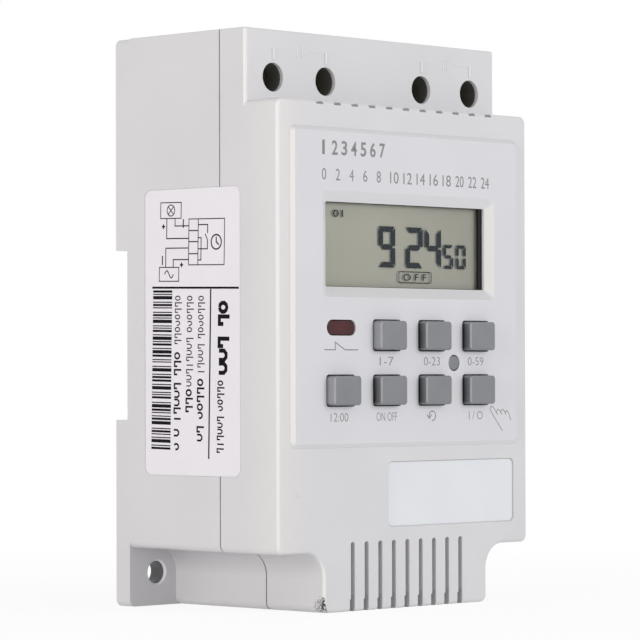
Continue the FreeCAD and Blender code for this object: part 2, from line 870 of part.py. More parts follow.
soften(rear_glass, glass_bevel, lambda box: at_depth(box, rear_glass_back), "Chamfer")
film = start_body("lcd_reflector")
grow(film, "front", rear_glass_back - film_thickness, rear_glass_back,
     [rectangle(glass_left + film_inset, glass_right - film_inset,
                glass_bottom + glass_ledge + film_inset, glass_top - glass_ledge - film_inset, view_radius)])
zebra_lows = {
    "zebra_lower": glass_bottom + zebra_inset,
    "zebra_upper": glass_top - zebra_inset - zebra_thickness,
}
for name, low in zebra_lows.items():
    strip = start_body(name)
    grow(strip, "front", display_board_front, glass_front - glass_thickness,
         [rectangle(glass_left + zebra_end, glass_right - zebra_end, low, low + zebra_thickness, view_radius)])

# Display board with the controller, its crystal and the backup cell behind it
display_board_back = display_board_front - board_thickness
display_board = start_body("display_board")
grow(display_board, "front", display_board_back, display_board_front,
     [rectangle(-board_width / 2, board_width / 2, display_board_bottom, display_board_top, board_radius)])
carve(display_board, "front", display_board_back, display_board_front,
      [disc(u, v, small_screw_radius + clear_hole) for u, v in display_screw_places])

mat = start_body("key_mat")
mat_front = display_board_front + mat_thickness
dome_front = mat_front + dome_foot
grow(mat, "front", display_board_front, mat_front,
     [rectangle(-mat_half, mat_half, mat_bottom, mat_top, board_radius)])
dome_places = [(u, v, dome_radius) for u, v in key_places.values()]
dome_places.append((reset_across, reset_height, small_dome_radius))
grow(mat, "front", mat_front - reach, dome_front, [disc(u, v, radius) for u, v, radius in dome_places])
grow(mat, "front", dome_front - reach, flange_back,
     [disc(u, v, radius - dome_step) for u, v, radius in dome_places])
carve(mat, "front", display_board_front, mat_front + dome_step,
      [disc(u, v, radius - dome_wall) for u, v, radius in dome_places])
carve(mat, "front", display_board_front, mat_front, [disc(lamp_across, lamp_height, lamp_hole_radius)])

blob = start_body("controller_blob")
blob_back = display_board_back - blob_thickness
grow(blob, "front", blob_back, display_board_back, [disc(blob_across, blob_height, blob_radius)])
soften(blob, blob_dome, lambda box: at_depth(box, blob_back))
crystal = start_body("watch_crystal")
grow(crystal, "side", crystal_start, crystal_end,
     [disc(display_board_back - crystal_radius, crystal_height, crystal_radius)])
soften(crystal, crystal_edge, lambda box: box.XLength < 0.01)
cell_front = display_board_back - cell_gap
cell_back = cell_front - cell_thickness
cell = start_body("backup_cell")
grow(cell, "front", cell_back, cell_front, [disc(cell_across, cell_height, cell_radius)])
soften(cell, cell_edge, lambda box: at_depth(box, cell_back) or at_depth(box, cell_front))
tabs = start_body("cell_tabs")
tab_low, tab_high, tab_right = cell_height - tab_half, cell_height + tab_half, cell_across + tab_end
grow(tabs, "front", cell_front, cell_front + tab_thickness,
     [rectangle(cell_across - tab_start, tab_right, tab_low, tab_high)])
grow(tabs, "front", cell_front, display_board_back,
     [rectangle(tab_right - tab_thickness, tab_right, tab_low, tab_high)])

# Ribbon cable: out of the display board, down between the boards, and into the main board
ribbon = start_body("ribbon_cable")
main_board_front = main_board_back + board_thickness
ribbon_half = ribbon_thickness / 2
ribbon_drop = (main_board_front + display_board_back) / 2
upper_centre = (ribbon_drop + ribbon_turn, ribbon_top - ribbon_turn)
lower_centre = (ribbon_drop - ribbon_turn, ribbon_low + ribbon_turn)
wide, tight = ribbon_turn + ribbon_half, ribbon_turn - ribbon_half
grow(ribbon, "side", -ribbon_width / 2, ribbon_width / 2, [[
    (display_board_back, ribbon_top + ribbon_half, None),
    (upper_centre[0], ribbon_top + ribbon_half, (upper_centre[0], upper_centre[1], wide)),
    (ribbon_drop - ribbon_half, upper_centre[1], None),
    (ribbon_drop - ribbon_half, lower_centre[1], (lower_centre[0], lower_centre[1], tight)),
    (lower_centre[0], ribbon_low + ribbon_half, None),
    (main_board_front, ribbon_low + ribbon_half, None),
    (main_board_front, ribbon_low - ribbon_half, None),
    (lower_centre[0], ribbon_low - ribbon_half, (lower_centre[0], lower_centre[1], wide)),
    (ribbon_drop + ribbon_half, lower_centre[1], None),
    (ribbon_drop + ribbon_half, upper_centre[1], (upper_centre[0], upper_centre[1], tight)),
    (upper_centre[0], ribbon_top - ribbon_half, None),
    (display_board_back, ribbon_top - ribbon_half, None),
]])

# Main board with the relay and the supply parts
bar_low = main_board_top - bar_drop
main_board = start_body("main_board")
grow(main_board, "front", main_board_back, main_board_front,
     [rectangle(-board_width / 2, board_width / 2, main_board_bottom, main_board_top, board_radius)])
carve(main_board, "front", main_board_back, main_board_front,
      [disc(u, v, small_screw_radius + clear_hole) for u, v in main_screw_places]
      + [centred(u, bar_low + bar_thickness / 2, bar_width + 2 * fit_play, bar_thickness + 2 * fit_play)
         for u in terminals])


def standing_part(label, loop, tall, edge):
    """A component that stands on the main board, with its front edge rounded."""
    part = start_body(label)
    grow(part, "front", main_board_front, main_board_front + tall, [loop])
    if edge:
        soften(part, edge, lambda box: at_depth(box, main_board_front + tall))


relay_loop = rectangle(relay_left, relay_right, relay_bottom, relay_top, relay_radius)
standing_part("relay", relay_loop, relay_tall, part_edge)
capacitor_loop = disc(capacitor_across, capacitor_height, capacitor_radius)
standing_part("supply_capacitor", capacitor_loop, capacitor_tall, part_edge)
rectifier_loop = disc(rectifier_across, rectifier_height, rectifier_radius)
standing_part("bridge_rectifier", rectifier_loop, rectifier_tall, part_edge)
transistor_centre = (transistor_across, transistor_height, transistor_radius)
standing_part("driver_transistor", [
    (transistor_across - transistor_radius, transistor_height, None),
    (transistor_across + transistor_radius, transistor_height, transistor_centre),
    (transistor_across, transistor_height + transistor_radius, transistor_centre),
], transistor_tall, None)
diode = start_body("flyback_diode")
diode_depth = main_board_front + diode_radius
lead_reach = diode_length / 2 + lead_length
grow(diode, "level", diode_height - diode_length / 2, diode_height + diode_length / 2,
     [disc(diode_across, diode_depth, diode_radius)])
grow(diode, "level", diode_height - lead_reach, diode_height + lead_reach,
     [disc(diode_across, diode_depth, lead_radius)])

# Terminal housing: four wells with a collared screw hole in front, a wire hole on top and a bar slot below
well_half = cage_width / 2 + cage_play
cage_low = terminal_height - cage_tall / 2
cage_high = cage_low + cage_tall
well_low = cage_low - well_foot
well_high = cage_high + well_roof
housing_half = half_width - wall - housing_play
housing_top = case_height - wall - housing_play
housing_front = block_depth - front_wall
seat_back = head_seat_depth - seat_thickness
bar_front = bar_depth + bar_thickness
bar_high = well_high + bar_rise
housing = start_body("terminal_housing")
grow(housing, "front", housing_back, housing_front,
     [rectangle(-housing_half, housing_half, housing_bottom, housing_top, housing_radius)])
carve(housing, "front", housing_back, seat_back,
      [rectangle(u - well_half, u + well_half, well_low, well_high) for u in terminals])
carve(housing, "front", seat_back - past, head_seat_depth,
      [disc(u, terminal_height, terminal_screw_radius + fit_play) for u in terminals])
grow(housing, "front", housing_front - reach, collar_front - fit_play,
     [disc(u, terminal_height, collar_radius) for u in terminals])
carve(housing, "front", head_seat_depth, collar_front,
      [disc(u, terminal_height, terminal_hole_radius) for u in terminals])
carve(housing, "front", housing_back, housing_front,
      [disc(u, v, upper_boss_radius + fit_play) for u, v in upper_case_screws])
carve(housing, "level", well_high - past, housing_top,
      [disc(u, wire_depth, wire_hole_radius) for u in terminals])
slot_half = bar_width / 2 + fit_play
bar_slots = [rectangle(u - slot_half, u + slot_half, bar_depth - fit_play, bar_front + fit_play) for u in terminals]
carve(housing, "level", housing_bottom, well_low + past, bar_slots)
carve(housing, "level", well_high - past, bar_high + fit_play, bar_slots)

# Clamp sets: screw, rising cage and conductor bar behind each hole
shank_start = bar_front + bar_gap
cage_front = shank_start + cage_bar
cage_back = bar_depth - wire_gap - cage_bar
drive_back = head_front - drive_depth
bar_back = main_board_back - bar_tail
bend_centre = (bar_depth - bar_bend, bar_low + bar_thickness + bar_bend)
for number, across in enumerate(terminals, 1):
    screw = start_body("terminal_screw_%d" % number)
    grow(screw, "front", shank_start, head_seat_depth,
         [disc(across, terminal_height, terminal_screw_radius - shank_play)])
    grow(screw, "front", head_seat_depth, head_front, [disc(across, terminal_height, terminal_head_radius)])
    soften(screw, screw_bevel, lambda box: at_depth(box, head_front), "Chamfer")
    carve(screw, "front", drive_back, head_front + past,
          [centred(across, terminal_height, drive_long, drive_width)])
    carve(screw, "front", drive_back, head_front + past,
          [centred(across, terminal_height, drive_width, drive_short)])
    left, right = across - cage_width / 2, across + cage_width / 2
    cage = start_body("terminal_cage_%d" % number)
    grow(cage, "level", cage_low, cage_high, [
        rectangle(left, right, cage_back, cage_front, cage_radius),
        rectangle(left + cage_wall, right - cage_wall,
                  cage_back + cage_bar, cage_front - cage_bar, cage_inner_radius)])
    carve(cage, "front", cage_front - cage_bar - past, cage_front + past,
          [disc(across, terminal_height, terminal_screw_radius)])
    bar = start_body("terminal_bar_%d" % number)
    grow(bar, "side", across - bar_width / 2, across + bar_width / 2, [[
        (bar_back, bar_low, None),
        (bend_centre[0], bar_low, (bend_centre[0], bend_centre[1], bar_bend + bar_thickness)),
        (bar_front, bend_centre[1], None),
        (bar_front, bar_high, None),
        (bar_depth, bar_high, None),
        (bar_depth, bend_centre[1], (bend_centre[0], bend_centre[1], bar_bend)),
        (bend_centre[0], bar_low + bar_thickness, None),
        (bar_back, bar_low + bar_thickness, None),
    ]])

# Rail latch: a sliding plate with side wings, a window for the spring and a nose under the rail
latch = start_body("rail_latch")
latch_half = latch_width / 2
latch_shoulder = rail_slot_bottom - latch_foot_play
nose_top = rail_slot_bottom + latch_nose_rise
wing_half = latch_half + latch_wing - latch_play
pull_slot_low = latch_bottom + pull_slot_rise
window_low = spring_bottom - abutment_tall - latch_foot_play
grow(latch, "front", latch_back, latch_front,
     [rectangle(-latch_half, latch_half, latch_bottom, latch_shoulder, frame_radius)])
grow(latch, "front", latch_back, hook_thickness,
     [rectangle(-latch_half, latch_half, latch_shoulder - nose_root, nose_top)])
soften(latch, nose_bevel,
       lambda box: at_depth(box, latch_back) and box.ZMin > (nose_top - nose_bevel).value, "Chamfer")
grow(latch, "front", hook_thickness, latch_front, [rectangle(-wing_half, wing_half, wing_bottom, wing_top)])
carve(latch, "front", latch_back, latch_front,
      [rectangle(-spring_window_half, spring_window_half, window_low, spring_bottom + spring_length)])
carve(latch, "front", latch_back, latch_front,
      [rectangle(-pull_slot_half, pull_slot_half, pull_slot_low, pull_slot_low + pull_slot_tall, housing_radius)])

# Labels
side_label = start_body("side_label")
label_face = -half_width + label_sunk
grow(side_label, "side", label_face, label_face + label_thickness, [side_label_loop])
front_label = start_body("front_label")
label_floor = case_depth - front_label_recess
grow(front_label, "front", label_floor, label_floor + label_thickness, [rectangle(
    front_label_left + label_play, front_label_right - label_play,
    front_label_bottom + label_play, front_label_top - label_play, front_label_curve)])


# Screws: equal screws of one job are one group of separate solids

def cylinder(name, across, depth, up, radius, length):
    """A round bar along the depth, starting at the given depth and running forward."""
    rod = document.addObject("Part::Cylinder", name)
    rod.setExpression("Radius", as_size(radius).text)
    rod.setExpression("Height", as_size(length).text)
    rod.Placement.Rotation = FreeCAD.Rotation(FreeCAD.Vector(1, 0, 0), 90)
    rod.setExpression("Placement.Base.x", as_size(across).text)
    rod.setExpression("Placement.Base.y", (-as_size(depth)).text)
    rod.setExpression("Placement.Base.z", as_size(up).text)
    return rod


def bar_box(name, across, depth, up, width, length, tall):
    block = document.addObject("Part::Box", name)
    block.setExpression("Length", as_size(width).text)
    block.setExpression("Width", as_size(length).text)
    block.setExpression("Height", as_size(tall).text)
    block.setExpression("Placement.Base.x", (across - as_size(width) / 2).text)
    block.setExpression("Placement.Base.y", (-(as_size(depth) + length)).text)
    block.setExpression("Placement.Base.z", (up - as_size(tall) / 2).text)
    return block


def screw_group(label, places, seat, head_radius, head_height, radius, length, forward):
    """Pan heads with a cross slot; forward tells whether the shank runs forward from its seat."""
    screws = []
    for across, up in places:
        head_start = seat - head_height if forward else seat
        head = cylinder("Head", across, head_start, up, head_radius, head_height)
        shank = cylinder("Shank", across, seat if forward else seat - length, up, radius, length)
        whole = document.addObject("Part::MultiFuse", "Screw")
        whole.Shapes = [head, shank]
        slot_start = head_start - past if forward else seat + head_height - cross_slot_depth
        slot_length = cross_slot_depth + past
        arm = head_radius * 1.2
        arms = [bar_box("Arm", across, slot_start, up, arm, slot_length, cross_slot_width),
                bar_box("Arm", across, slot_start, up, cross_slot_width, slot_length, arm)]
        cross = document.addObject("Part::MultiFuse", "Cross")
        cross.Shapes = arms
        slotted = document.addObject("Part::Cut", "Slotted")
        slotted.Base = whole
        slotted.Tool = cross
        screws.append(slotted)
    group = document.addObject("Part::Compound", label)
    group.Label = label
    group.Links = screws
    group.setExpression("Placement.Base.y", (overall_depth / 2).text)
    return group


groups = [
    screw_group("case_screws", case_screw_places, head_recess, case_head_radius, case_head_height,
                case_screw_radius, case_screw_length, True),
    screw_group("display_board_screws", display_screw_places, display_board_back, small_head_radius,
                small_head_height, small_screw_radius, display_screw_length, True),
    screw_group("main_board_screws", main_screw_places, main_board_front, small_head_radius,
                small_head_height, small_screw_radius, main_screw_length, False),
]

# Latch spring: seven open turns of round wire, each turn made of tangent arcs

def helix_point(angle, radius, pitch):
    return FreeCAD.Vector(radius * math.cos(angle), radius * math.sin(angle), pitch * angle / (2 * math.pi))


def helix_tangent(angle, radius, pitch):
    rise = pitch / (2 * math.pi)
    return FreeCAD.Vector(-radius * math.sin(angle), radius * math.cos(angle), rise).normalize()


def tangent_arc(start, corner, stop):
    """The arc that touches both legs of an equal-legged corner."""
    leg = (corner - start).Length
    turn = (corner - start).getAngle(stop - corner)
    inward = ((start + stop) * 0.5 - corner).normalize()
    middle = corner + inward * (leg / math.sin(turn / 2) - leg / math.tan(turn / 2))
    return Part.Arc(start, middle, stop).toShape()


def wound_path(turns, radius, pitch):
    """A helix as pairs of tangent arcs, one pair for each quarter turn."""
    quarter = math.pi / 2
    edges = []
    for k in range(4 * turns):
        p0, p1 = (helix_point(quarter * j, radius, pitch) for j in (k, k + 1))
        t0, t1 = (helix_tangent(quarter * j, radius, pitch) for j in (k, k + 1))
        chord, tangents = p1 - p0, t0 + t1
        a, b, c = tangents.dot(tangents) - 4, -2 * chord.dot(tangents), chord.dot(chord)
        leg = (-b - math.sqrt(b * b - 4 * a * c)) / (2 * a)
        first, second = p0 + t0 * leg, p1 - t1 * leg
        joint = (first + second) * 0.5
        edges += [tangent_arc(p0, first, joint), tangent_arc(joint, second, p1)]
    return Part.Wire(edges)


spring_turns = 7
spring_pitch = (sheet.spring_length - sheet.spring_wire) / spring_turns
path = wound_path(spring_turns, sheet.spring_radius, spring_pitch)
wire_start = helix_point(0, sheet.spring_radius, spring_pitch)
wire_heading = helix_tangent(0, sheet.spring_radius, spring_pitch)
wire_circle = Part.Circle(wire_start, wire_heading, sheet.spring_wire / 2)
spring_shape = path.makePipeShell([Part.Wire([wire_circle.toShape()])], True, False)
spring = document.addObject("Part::Feature", "latch_spring")
spring.Label = "latch_spring"
spring.Shape = spring_shape
spring_depth = (latch_back + latch_front) / 2
spring_foot = spring_bottom + spring_wire / 2
spring.Placement.Base = FreeCAD.Vector(0, (overall_depth / 2 - spring_depth).value, spring_foot.value)
document.recompute()
section = math.pi * (sheet.spring_wire / 2) ** 2
print("latch_spring volume %.3f, section times length %.3f, gap between turns %.2f"
      % (spring.Shape.Volume, section * path.Length, spring_pitch - sheet.spring_wire))

# Every feature has to change its body the way it says, and every shape has to be sound
document.recompute()
nodes = [item for item in document.Objects if item.TypeId == "PartDesign::Body"] + groups + [spring]
faults = ["%s %s: %s" % (item.Name, item.State, item.getStatusString()) for item in document.Objects
          if "Invalid" in item.State or "Error" in item.State]
if faults:
    raise RuntimeError("; ".join(faults))
for body in nodes:
    if body.TypeId == "PartDesign::Body":
        volume = 0.0
        for feature in body.Group:
            if feature.TypeId in ("PartDesign::Pad", "PartDesign::Pocket", "PartDesign::SubtractiveLoft"):
                larger = feature.Shape.Volume > volume + 1e-6
                if larger != (feature.TypeId == "PartDesign::Pad"):
                    faults.append("%s %s changes nothing" % (body.Label, feature.Name))
            if hasattr(feature, "Shape") and feature.TypeId != "Sketcher::SketchObject":
                volume = feature.Shape.Volume
    if body.Shape.isNull() or not body.Shape.isValid():
        faults.append(body.Label + " has no sound shape")
if faults:
    raise RuntimeError("; ".join(faults))
os.makedirs("parts", exist_ok=True)
for body in nodes:
    body.Shape.exportStep("parts/%s.step" % body.Label)
    box = body.Shape.BoundBox
    corners = (box.XMin, box.XMax, box.YMin, box.YMax, box.ZMin, box.ZMax)
    extent = "x %.1f..%.1f y %.1f..%.1f z %.1f..%.1f" % corners
    print("%-22s %d solids %9.1f mm3  %s" % (body.Label, len(body.Shape.Solids), body.Shape.Volume, extent))
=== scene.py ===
import bmesh
import bpy
import numpy as np
from math import radians
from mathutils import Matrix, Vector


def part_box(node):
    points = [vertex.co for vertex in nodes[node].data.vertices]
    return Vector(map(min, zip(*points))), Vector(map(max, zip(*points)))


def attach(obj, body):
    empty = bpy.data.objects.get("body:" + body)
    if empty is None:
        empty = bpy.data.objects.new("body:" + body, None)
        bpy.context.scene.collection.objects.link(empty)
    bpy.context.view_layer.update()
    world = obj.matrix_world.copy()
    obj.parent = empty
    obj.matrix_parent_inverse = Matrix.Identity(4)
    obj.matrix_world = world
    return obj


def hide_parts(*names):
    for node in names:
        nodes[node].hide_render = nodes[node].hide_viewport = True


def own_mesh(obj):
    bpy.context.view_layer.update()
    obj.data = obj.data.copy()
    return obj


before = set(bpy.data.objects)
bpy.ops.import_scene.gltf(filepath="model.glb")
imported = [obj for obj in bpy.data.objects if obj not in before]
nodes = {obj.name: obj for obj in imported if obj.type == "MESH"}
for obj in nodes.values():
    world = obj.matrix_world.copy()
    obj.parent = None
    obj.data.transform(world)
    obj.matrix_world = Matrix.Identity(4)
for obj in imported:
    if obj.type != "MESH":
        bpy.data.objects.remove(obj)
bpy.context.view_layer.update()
# Lengths are in millimetres until a mesh or a pattern is made from them; colours are read from 0 to 255,
# as a screen shows them.


# Rear shell and front shell: two mouldings of pale grey thermoplastic with a fine eroded grain,
# clipped over each other along the seam at the sides and held by four screws from behind.
# The lower left corner of the front has been knocked, and dark specks are ground into it.
def light_of(red, green, blue):
    """The screen's curve undone, so that a colour goes in as the light it stands for."""
    screen = np.array([red, green, blue]) / 255
    return (*np.where(screen <= 0.04045, screen / 12.92, ((screen + 0.055) / 1.055) ** 2.4), 1.0)


def wire(tree, kind, sockets=None, **choices):
    """One more node of a material: choices are its own settings, sockets hold numbers or what feeds them."""
    made = tree.nodes.new(kind)
    for name, value in choices.items():
        setattr(made, name, value)
    for name, value in (sockets or {}).items():
        if isinstance(value, bpy.types.NodeSocket):
            tree.links.new(value, made.inputs[name])
        else:
            made.inputs[name].default_value = value
    return made


def blended(tree, share, one, other):
    """One colour where the share is 0, the other where it is 1, and their straight mix between."""
    return wire(tree, "ShaderNodeMix", {0: share, 6: one, 7: other}, data_type="RGBA").outputs[2]


def stretched(tree, value, low, high, start=0.0, end=1.0):
    """The value between low and high, spread evenly from start to end, and held there outside."""
    return wire(tree, "ShaderNodeMapRange", {0: value, 1: low, 2: high, 3: start, 4: end}).outputs[0]


def both(tree, one, other):
    """The product of two shares, which is large only where both are."""
    return wire(tree, "ShaderNodeMath", {0: one, 1: other}, operation="MULTIPLY").outputs[0]


def place_in(tree):
    """The place on the piece, in metres, by which every pattern is laid out."""
    return wire(tree, "ShaderNodeTexCoord").outputs["Object"]


def axes_of(tree):
    """The place on the piece as three values: across, towards the rear, and up."""
    return wire(tree, "ShaderNodeSeparateXYZ", {0: place_in(tree)}).outputs


def noise_of(tree, size, detail=2.0, stretch=(1, 1, 1)):
    """Soft random patches of about `size` millimetres, drawn out along the axes whose stretch is under 1."""
    drawn = wire(tree, "ShaderNodeMapping", {"Vector": place_in(tree), "Scale": stretch}).outputs[0]
    sockets = {"Vector": drawn, "Scale": 1000 / size, "Detail": detail}
    return wire(tree, "ShaderNodeTexNoise", sockets).outputs[0]


class Finish:
    """A material in the making: its tree, its shader, and the colour that reaches the shader last."""

    def __init__(self, name):
        self.material = bpy.data.materials.new(name)
        self.material.use_nodes = True
        self.tree = self.material.node_tree
        self.shader = self.tree.nodes["Principled BSDF"]

    def paint(self, colour):
        """This colour reaches the shader, until another takes its place."""
        self.colour = colour
        self.tree.links.new(colour, self.shader.inputs["Base Color"])

    def over(self, share, colour):
        """Another colour laid over the present one, where the share says."""
        self.paint(blended(self.tree, share, self.colour, light_of(*colour)))

    def relief(self, height, depth):
        """The normal follows a height from 0 to 1 that stands for `depth` millimetres."""
        sockets = {"Strength": 1.0, "Distance": depth / 1000, "Height": height}
        bump = wire(self.tree, "ShaderNodeBump", sockets).outputs[0]
        self.tree.links.new(bump, self.shader.inputs["Normal"])


def moulded(name, light, dark, patch=17.0, grain=0.45, depth=0.006, gloss=0.32, spread=0.05, shine=0.5):
    """A moulded skin. Its colour drifts between two close tones in patches, its fine grain is a second
    noise in the normal, and its roughness wanders by `spread` to each side of `gloss` with a third."""
    made = Finish(name)
    drift = stretched(made.tree, noise_of(made.tree, patch, 1.0), 0.2, 0.8)
    made.paint(blended(made.tree, drift, light_of(*dark), light_of(*light)))
    least, most = gloss - spread, gloss + spread
    wander = stretched(made.tree, noise_of(made.tree, patch * 0.4, 1.0), 0.2, 0.8, least, most)
    made.tree.links.new(wander, made.shader.inputs["Roughness"])
    made.shader.inputs["Specular IOR Level"].default_value = shine
    made.relief(noise_of(made.tree, grain, 3.0), depth)
    return made


def near_to(tree, centre, reach, squeeze=(1, 1, 1)):
    """1 at a centre in millimetres, falling to 0 at the reach; squeeze over 1 narrows it along an axis."""
    middle = [value / 1000 for value in centre]
    offset = wire(
        tree, "ShaderNodeVectorMath", {0: place_in(tree), 1: middle}, operation="SUBTRACT").outputs[0]
    scaled = wire(tree, "ShaderNodeVectorMath", {0: offset, 1: squeeze}, operation="MULTIPLY").outputs[0]
    away = wire(tree, "ShaderNodeVectorMath", {0: scaled}, operation="LENGTH").outputs["Value"]
    return stretched(tree, away, 0.0, reach / 1000, 1.0, 0.0)


def facing(tree, way, start, end):
    """0 to 1 as the surface turns towards a direction: how far it does, from start to end."""
    turned = wire(tree, "ShaderNodeTexCoord").outputs["Normal"]
    agreement = wire(tree, "ShaderNodeVectorMath", {0: turned, 1: way}, operation="DOT_PRODUCT")
    return stretched(tree, agreement.outputs["Value"], start, end)


def inside_box(tree, low, high):
    """1 inside a box given by two opposite corners in millimetres, and 0 outside it."""
    share = None
    for axis, value in enumerate(axes_of(tree)):
        middle, half = (low[axis] + high[axis]) / 2000, (high[axis] - low[axis]) / 2000
        near = wire(tree, "ShaderNodeMath", {0: value, 1: middle, 2: half}, operation="COMPARE").outputs[0]
        share = near if share is None else both(tree, share, near)
    return share


def dress(material, *names):
    """A CAD node keeps its shape and takes this material in every slot."""
    for name in names:
        for held in nodes[name].material_slots:
            held.material = material


case_light, case_dark = (219, 218, 220), (214, 213, 215)
rear_case = moulded("case_rear", case_light, case_dark)
ear_across, ear_middle, ear_height, hole_reach = 30.65, 23.0, 7.0, 2.8
mouth_front, mouth_back, mouth_half = 21.355, 21.9, 3.0
# Round each ear hole, painted shade darkens the hole's wall, and a painted highlight lightens the front rim
# of the wall at its mouth.
for across in (-ear_across, ear_across):
    hole_painted_shade = near_to(rear_case.tree, (across, ear_middle, ear_height), hole_reach, (1, 0.05, 1))
    rear_case.over(stretched(rear_case.tree, hole_painted_shade, 0.0, 0.12), (109, 108, 112))
    rear_case.over(inside_box(
        rear_case.tree, (across - hole_reach, mouth_front, ear_height - mouth_half),
        (across + hole_reach, mouth_back, ear_height + mouth_half)), (242, 242, 246))
dress(rear_case.material, "rear_shell")

case = moulded("case_front", case_light, case_dark)
to_left, left_front, squarely = (-1, 0, 0), (-0.7071, -0.7071, 0.0), (0.8, 0.97)
# Painted light: the front shell is lighter near its left front edge, fading over about 11 mm.
left_edge_painted_light = near_to(case.tree, (-38.4, -22.8, 60.0), reach=11.0, squeeze=(1, 1, 0))
case.over(left_edge_painted_light, (226, 223, 223))
# Painted highlight on the rounded edges that face left and forward.
case.over(facing(case.tree, left_front, *squarely), (238, 236, 235))
terminals, bar_half = (-30.3, -14.8, 14.8, 30.3), 0.4
# Painted highlight on the moulded bar over each screw hole.
for across in terminals:
    bar = inside_box(case.tree, (across - bar_half, -14.0, 113.8), (across + bar_half, -13.6, 117.6))
    case.over(bar, (230, 230, 232))
slit_pitch, slit_half, slit_floor, slit_top = 5.2, 1.02, 104.25, 104.9
# Painted shade in each slit and on the front face just below its notch.
for k in range(-5, 6):
    left, right = k * slit_pitch - slit_half, k * slit_pitch + slit_half
    case.over(inside_box(case.tree, (left, -23.0, slit_floor), (right, -14.8, slit_top)), (176, 175, 177))
# Painted shade on the left-facing walls at the foot of the vents.
vent_feet = inside_box(case.tree, (-24.0, -22.6, 0.0), (24.0, -14.0, 3.3))
case.over(both(case.tree, vent_feet, facing(case.tree, to_left, 0.9, 0.98)), (200, 199, 201))
knock_reach, speck_edge, knock_low, knock_high = 3.5, 0.1, 0.22, 0.4
fine_scatter = (-25.9, -22.1, 1.1), (1.0, 1.0, 1.0), 0.3, 0.46, (112, 108, 110)
dense_streak = (-25.4, -22.7, 1.3), (3.2, 3.2, 1.0), 0.5, 0.37, (44, 40, 42)
for centre, squeeze, size, least, tone in (fine_scatter, dense_streak):
    knocked = both(
        case.tree, near_to(case.tree, centre, knock_reach, squeeze), facing(case.tree, to_left, 0.1, 0.3))
    specks = stretched(case.tree, noise_of(case.tree, size, 4.0), least, least + speck_edge)
    case.over(stretched(case.tree, both(case.tree, knocked, specks), knock_low, knock_high), tone)
dress(case.material, "front_shell")


# Marks moulded in the upper front: the shell has a short bar over each screw hole. A thin raised line
# joins the bars of each pair, and two small upright bars stand in its open middle, as the sign of a
# switch, to show which two clamps belong together.
rear_face = 25.8


def on_front(depth):
    """Across, up and proud of the plane that lies `depth` before the rear face, as a place in metres."""
    return lambda across, up, proud: np.stack([across, rear_face - depth - proud, up], axis=-1) / 1000


def set_down(name, mesh, material, weld=0.0):
    """A finished mesh as a piece: its doubles are merged within `weld` metres, its normals turned
    outwards, and it takes its one material and rides on the housing."""
    shape = bmesh.new()
    shape.from_mesh(mesh)
    if weld:
        bmesh.ops.remove_doubles(shape, verts=shape.verts, dist=weld)
    bmesh.ops.recalc_face_normals(shape, faces=shape.faces)
    shape.to_mesh(mesh)
    shape.free()
    mesh.materials.clear()
    mesh.materials.append(material)
    made = bpy.data.objects.new(name, mesh)
    bpy.context.scene.collection.objects.link(made)
    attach(made, "housing")
    return made


def piece_of(name, corners, faces, material, slot):
    """A piece from corners in metres and faces as rows of numbers."""
    mesh = bpy.data.meshes.new(name)
    mesh.from_pydata(corners.reshape(-1, 3).tolist(), [], [list(face) for face in faces])
    return set_down(name, mesh, material)


def strip_along(points, width, low, high, place, closed=False):
    """A flat strip carried along a path. At each point the path's two directions give a mean normal,
    lengthened so that the strip keeps its width round a bend; four corners per point, low and high."""
    points = np.asarray(points, float)
    ahead = np.roll(points, -1, axis=0) - points
    behind = points - np.roll(points, 1, axis=0)
    if not closed:
        ahead[-1], behind[0] = behind[-1], ahead[0]
    turned = [
        np.stack([-way[:, 1], way[:, 0]], -1) / np.linalg.norm(way, axis=1, keepdims=True)
        for way in (ahead, behind)]
    mean = turned[0] + turned[1]
    side = mean * width / np.maximum((mean * mean).sum(1, keepdims=True), 0.6)
    edges = np.stack([points + side, points - side, points - side, points + side], axis=1)
    levels = np.broadcast_to([high, high, low, low], edges.shape[:2])
    corners = place(edges[..., 0], edges[..., 1], levels)
    count = len(points)
    rim = np.arange(4)
    onward = (rim + 1) % 4
    first = np.arange(count if closed else count - 1)[:, None]
    after = (first + 1) % count
    faces = np.stack([4 * first + rim, 4 * after + rim, 4 * after + onward, 4 * first + onward], -1)
    ends = [] if closed else [[0, 1, 2, 3], [4 * count - 1, 4 * count - 2, 4 * count - 3, 4 * count - 4]]
    return corners.reshape(-1, 3), faces.reshape(-1, 4).tolist() + ends


def joined(shapes):
    """Several arrays of corners and lists of faces as one, the face numbers counted on."""
    starts = np.cumsum([0] + [len(corners) for corners, _ in shapes])
    faces = [[number + start for number in face] for start, (_, rows) in zip(starts, shapes) for face in rows]
    return np.concatenate([corners for corners, _ in shapes]), faces


def strips(name, paths, width, low, high, place, material, slot, closed=()):
    """One piece from several flat strips; the paths whose place in the list is in `closed` are rings."""
    shapes = [
        strip_along(path, width, low, high, place, number in closed) for number, path in enumerate(paths)]
    return piece_of(name, *joined(shapes), material, slot)


on_block, mark_root = on_front(39.3), -0.02
bar_top, bar_clearance, pair_gap, line_width, line_proud = 115.95, 0.1, 3.0, 0.22, 0.05
pair_lines = []
for left, right in (terminals[:2], terminals[2:]):
    middle = (left + right) / 2
    pair_lines += [
        [(left + bar_clearance, bar_top), (middle - pair_gap, bar_top)],
        [(middle + pair_gap, bar_top), (right - bar_clearance, bar_top)]]
strips("pair_lines", pair_lines, line_width, mark_root, line_proud, on_block, case.material, "case_plastic")
sign_foot, sign_top, sign_width, sign_proud = 114.7, 117.1, 0.3, 0.12
pair_signs = [[(across, sign_foot), (across, sign_top)] for across in (-23.3, -21.8, 21.8, 23.3)]
# The small upright bars take a lighter copy of the case plastic, as a painted highlight.
marks_painted_highlight = moulded("marks_painted_highlight", (229, 228, 230), (225, 224, 226)).material
strips("pair_signs", pair_signs, sign_width, mark_root, sign_proud, on_block, marks_painted_highlight, "case_plastic")


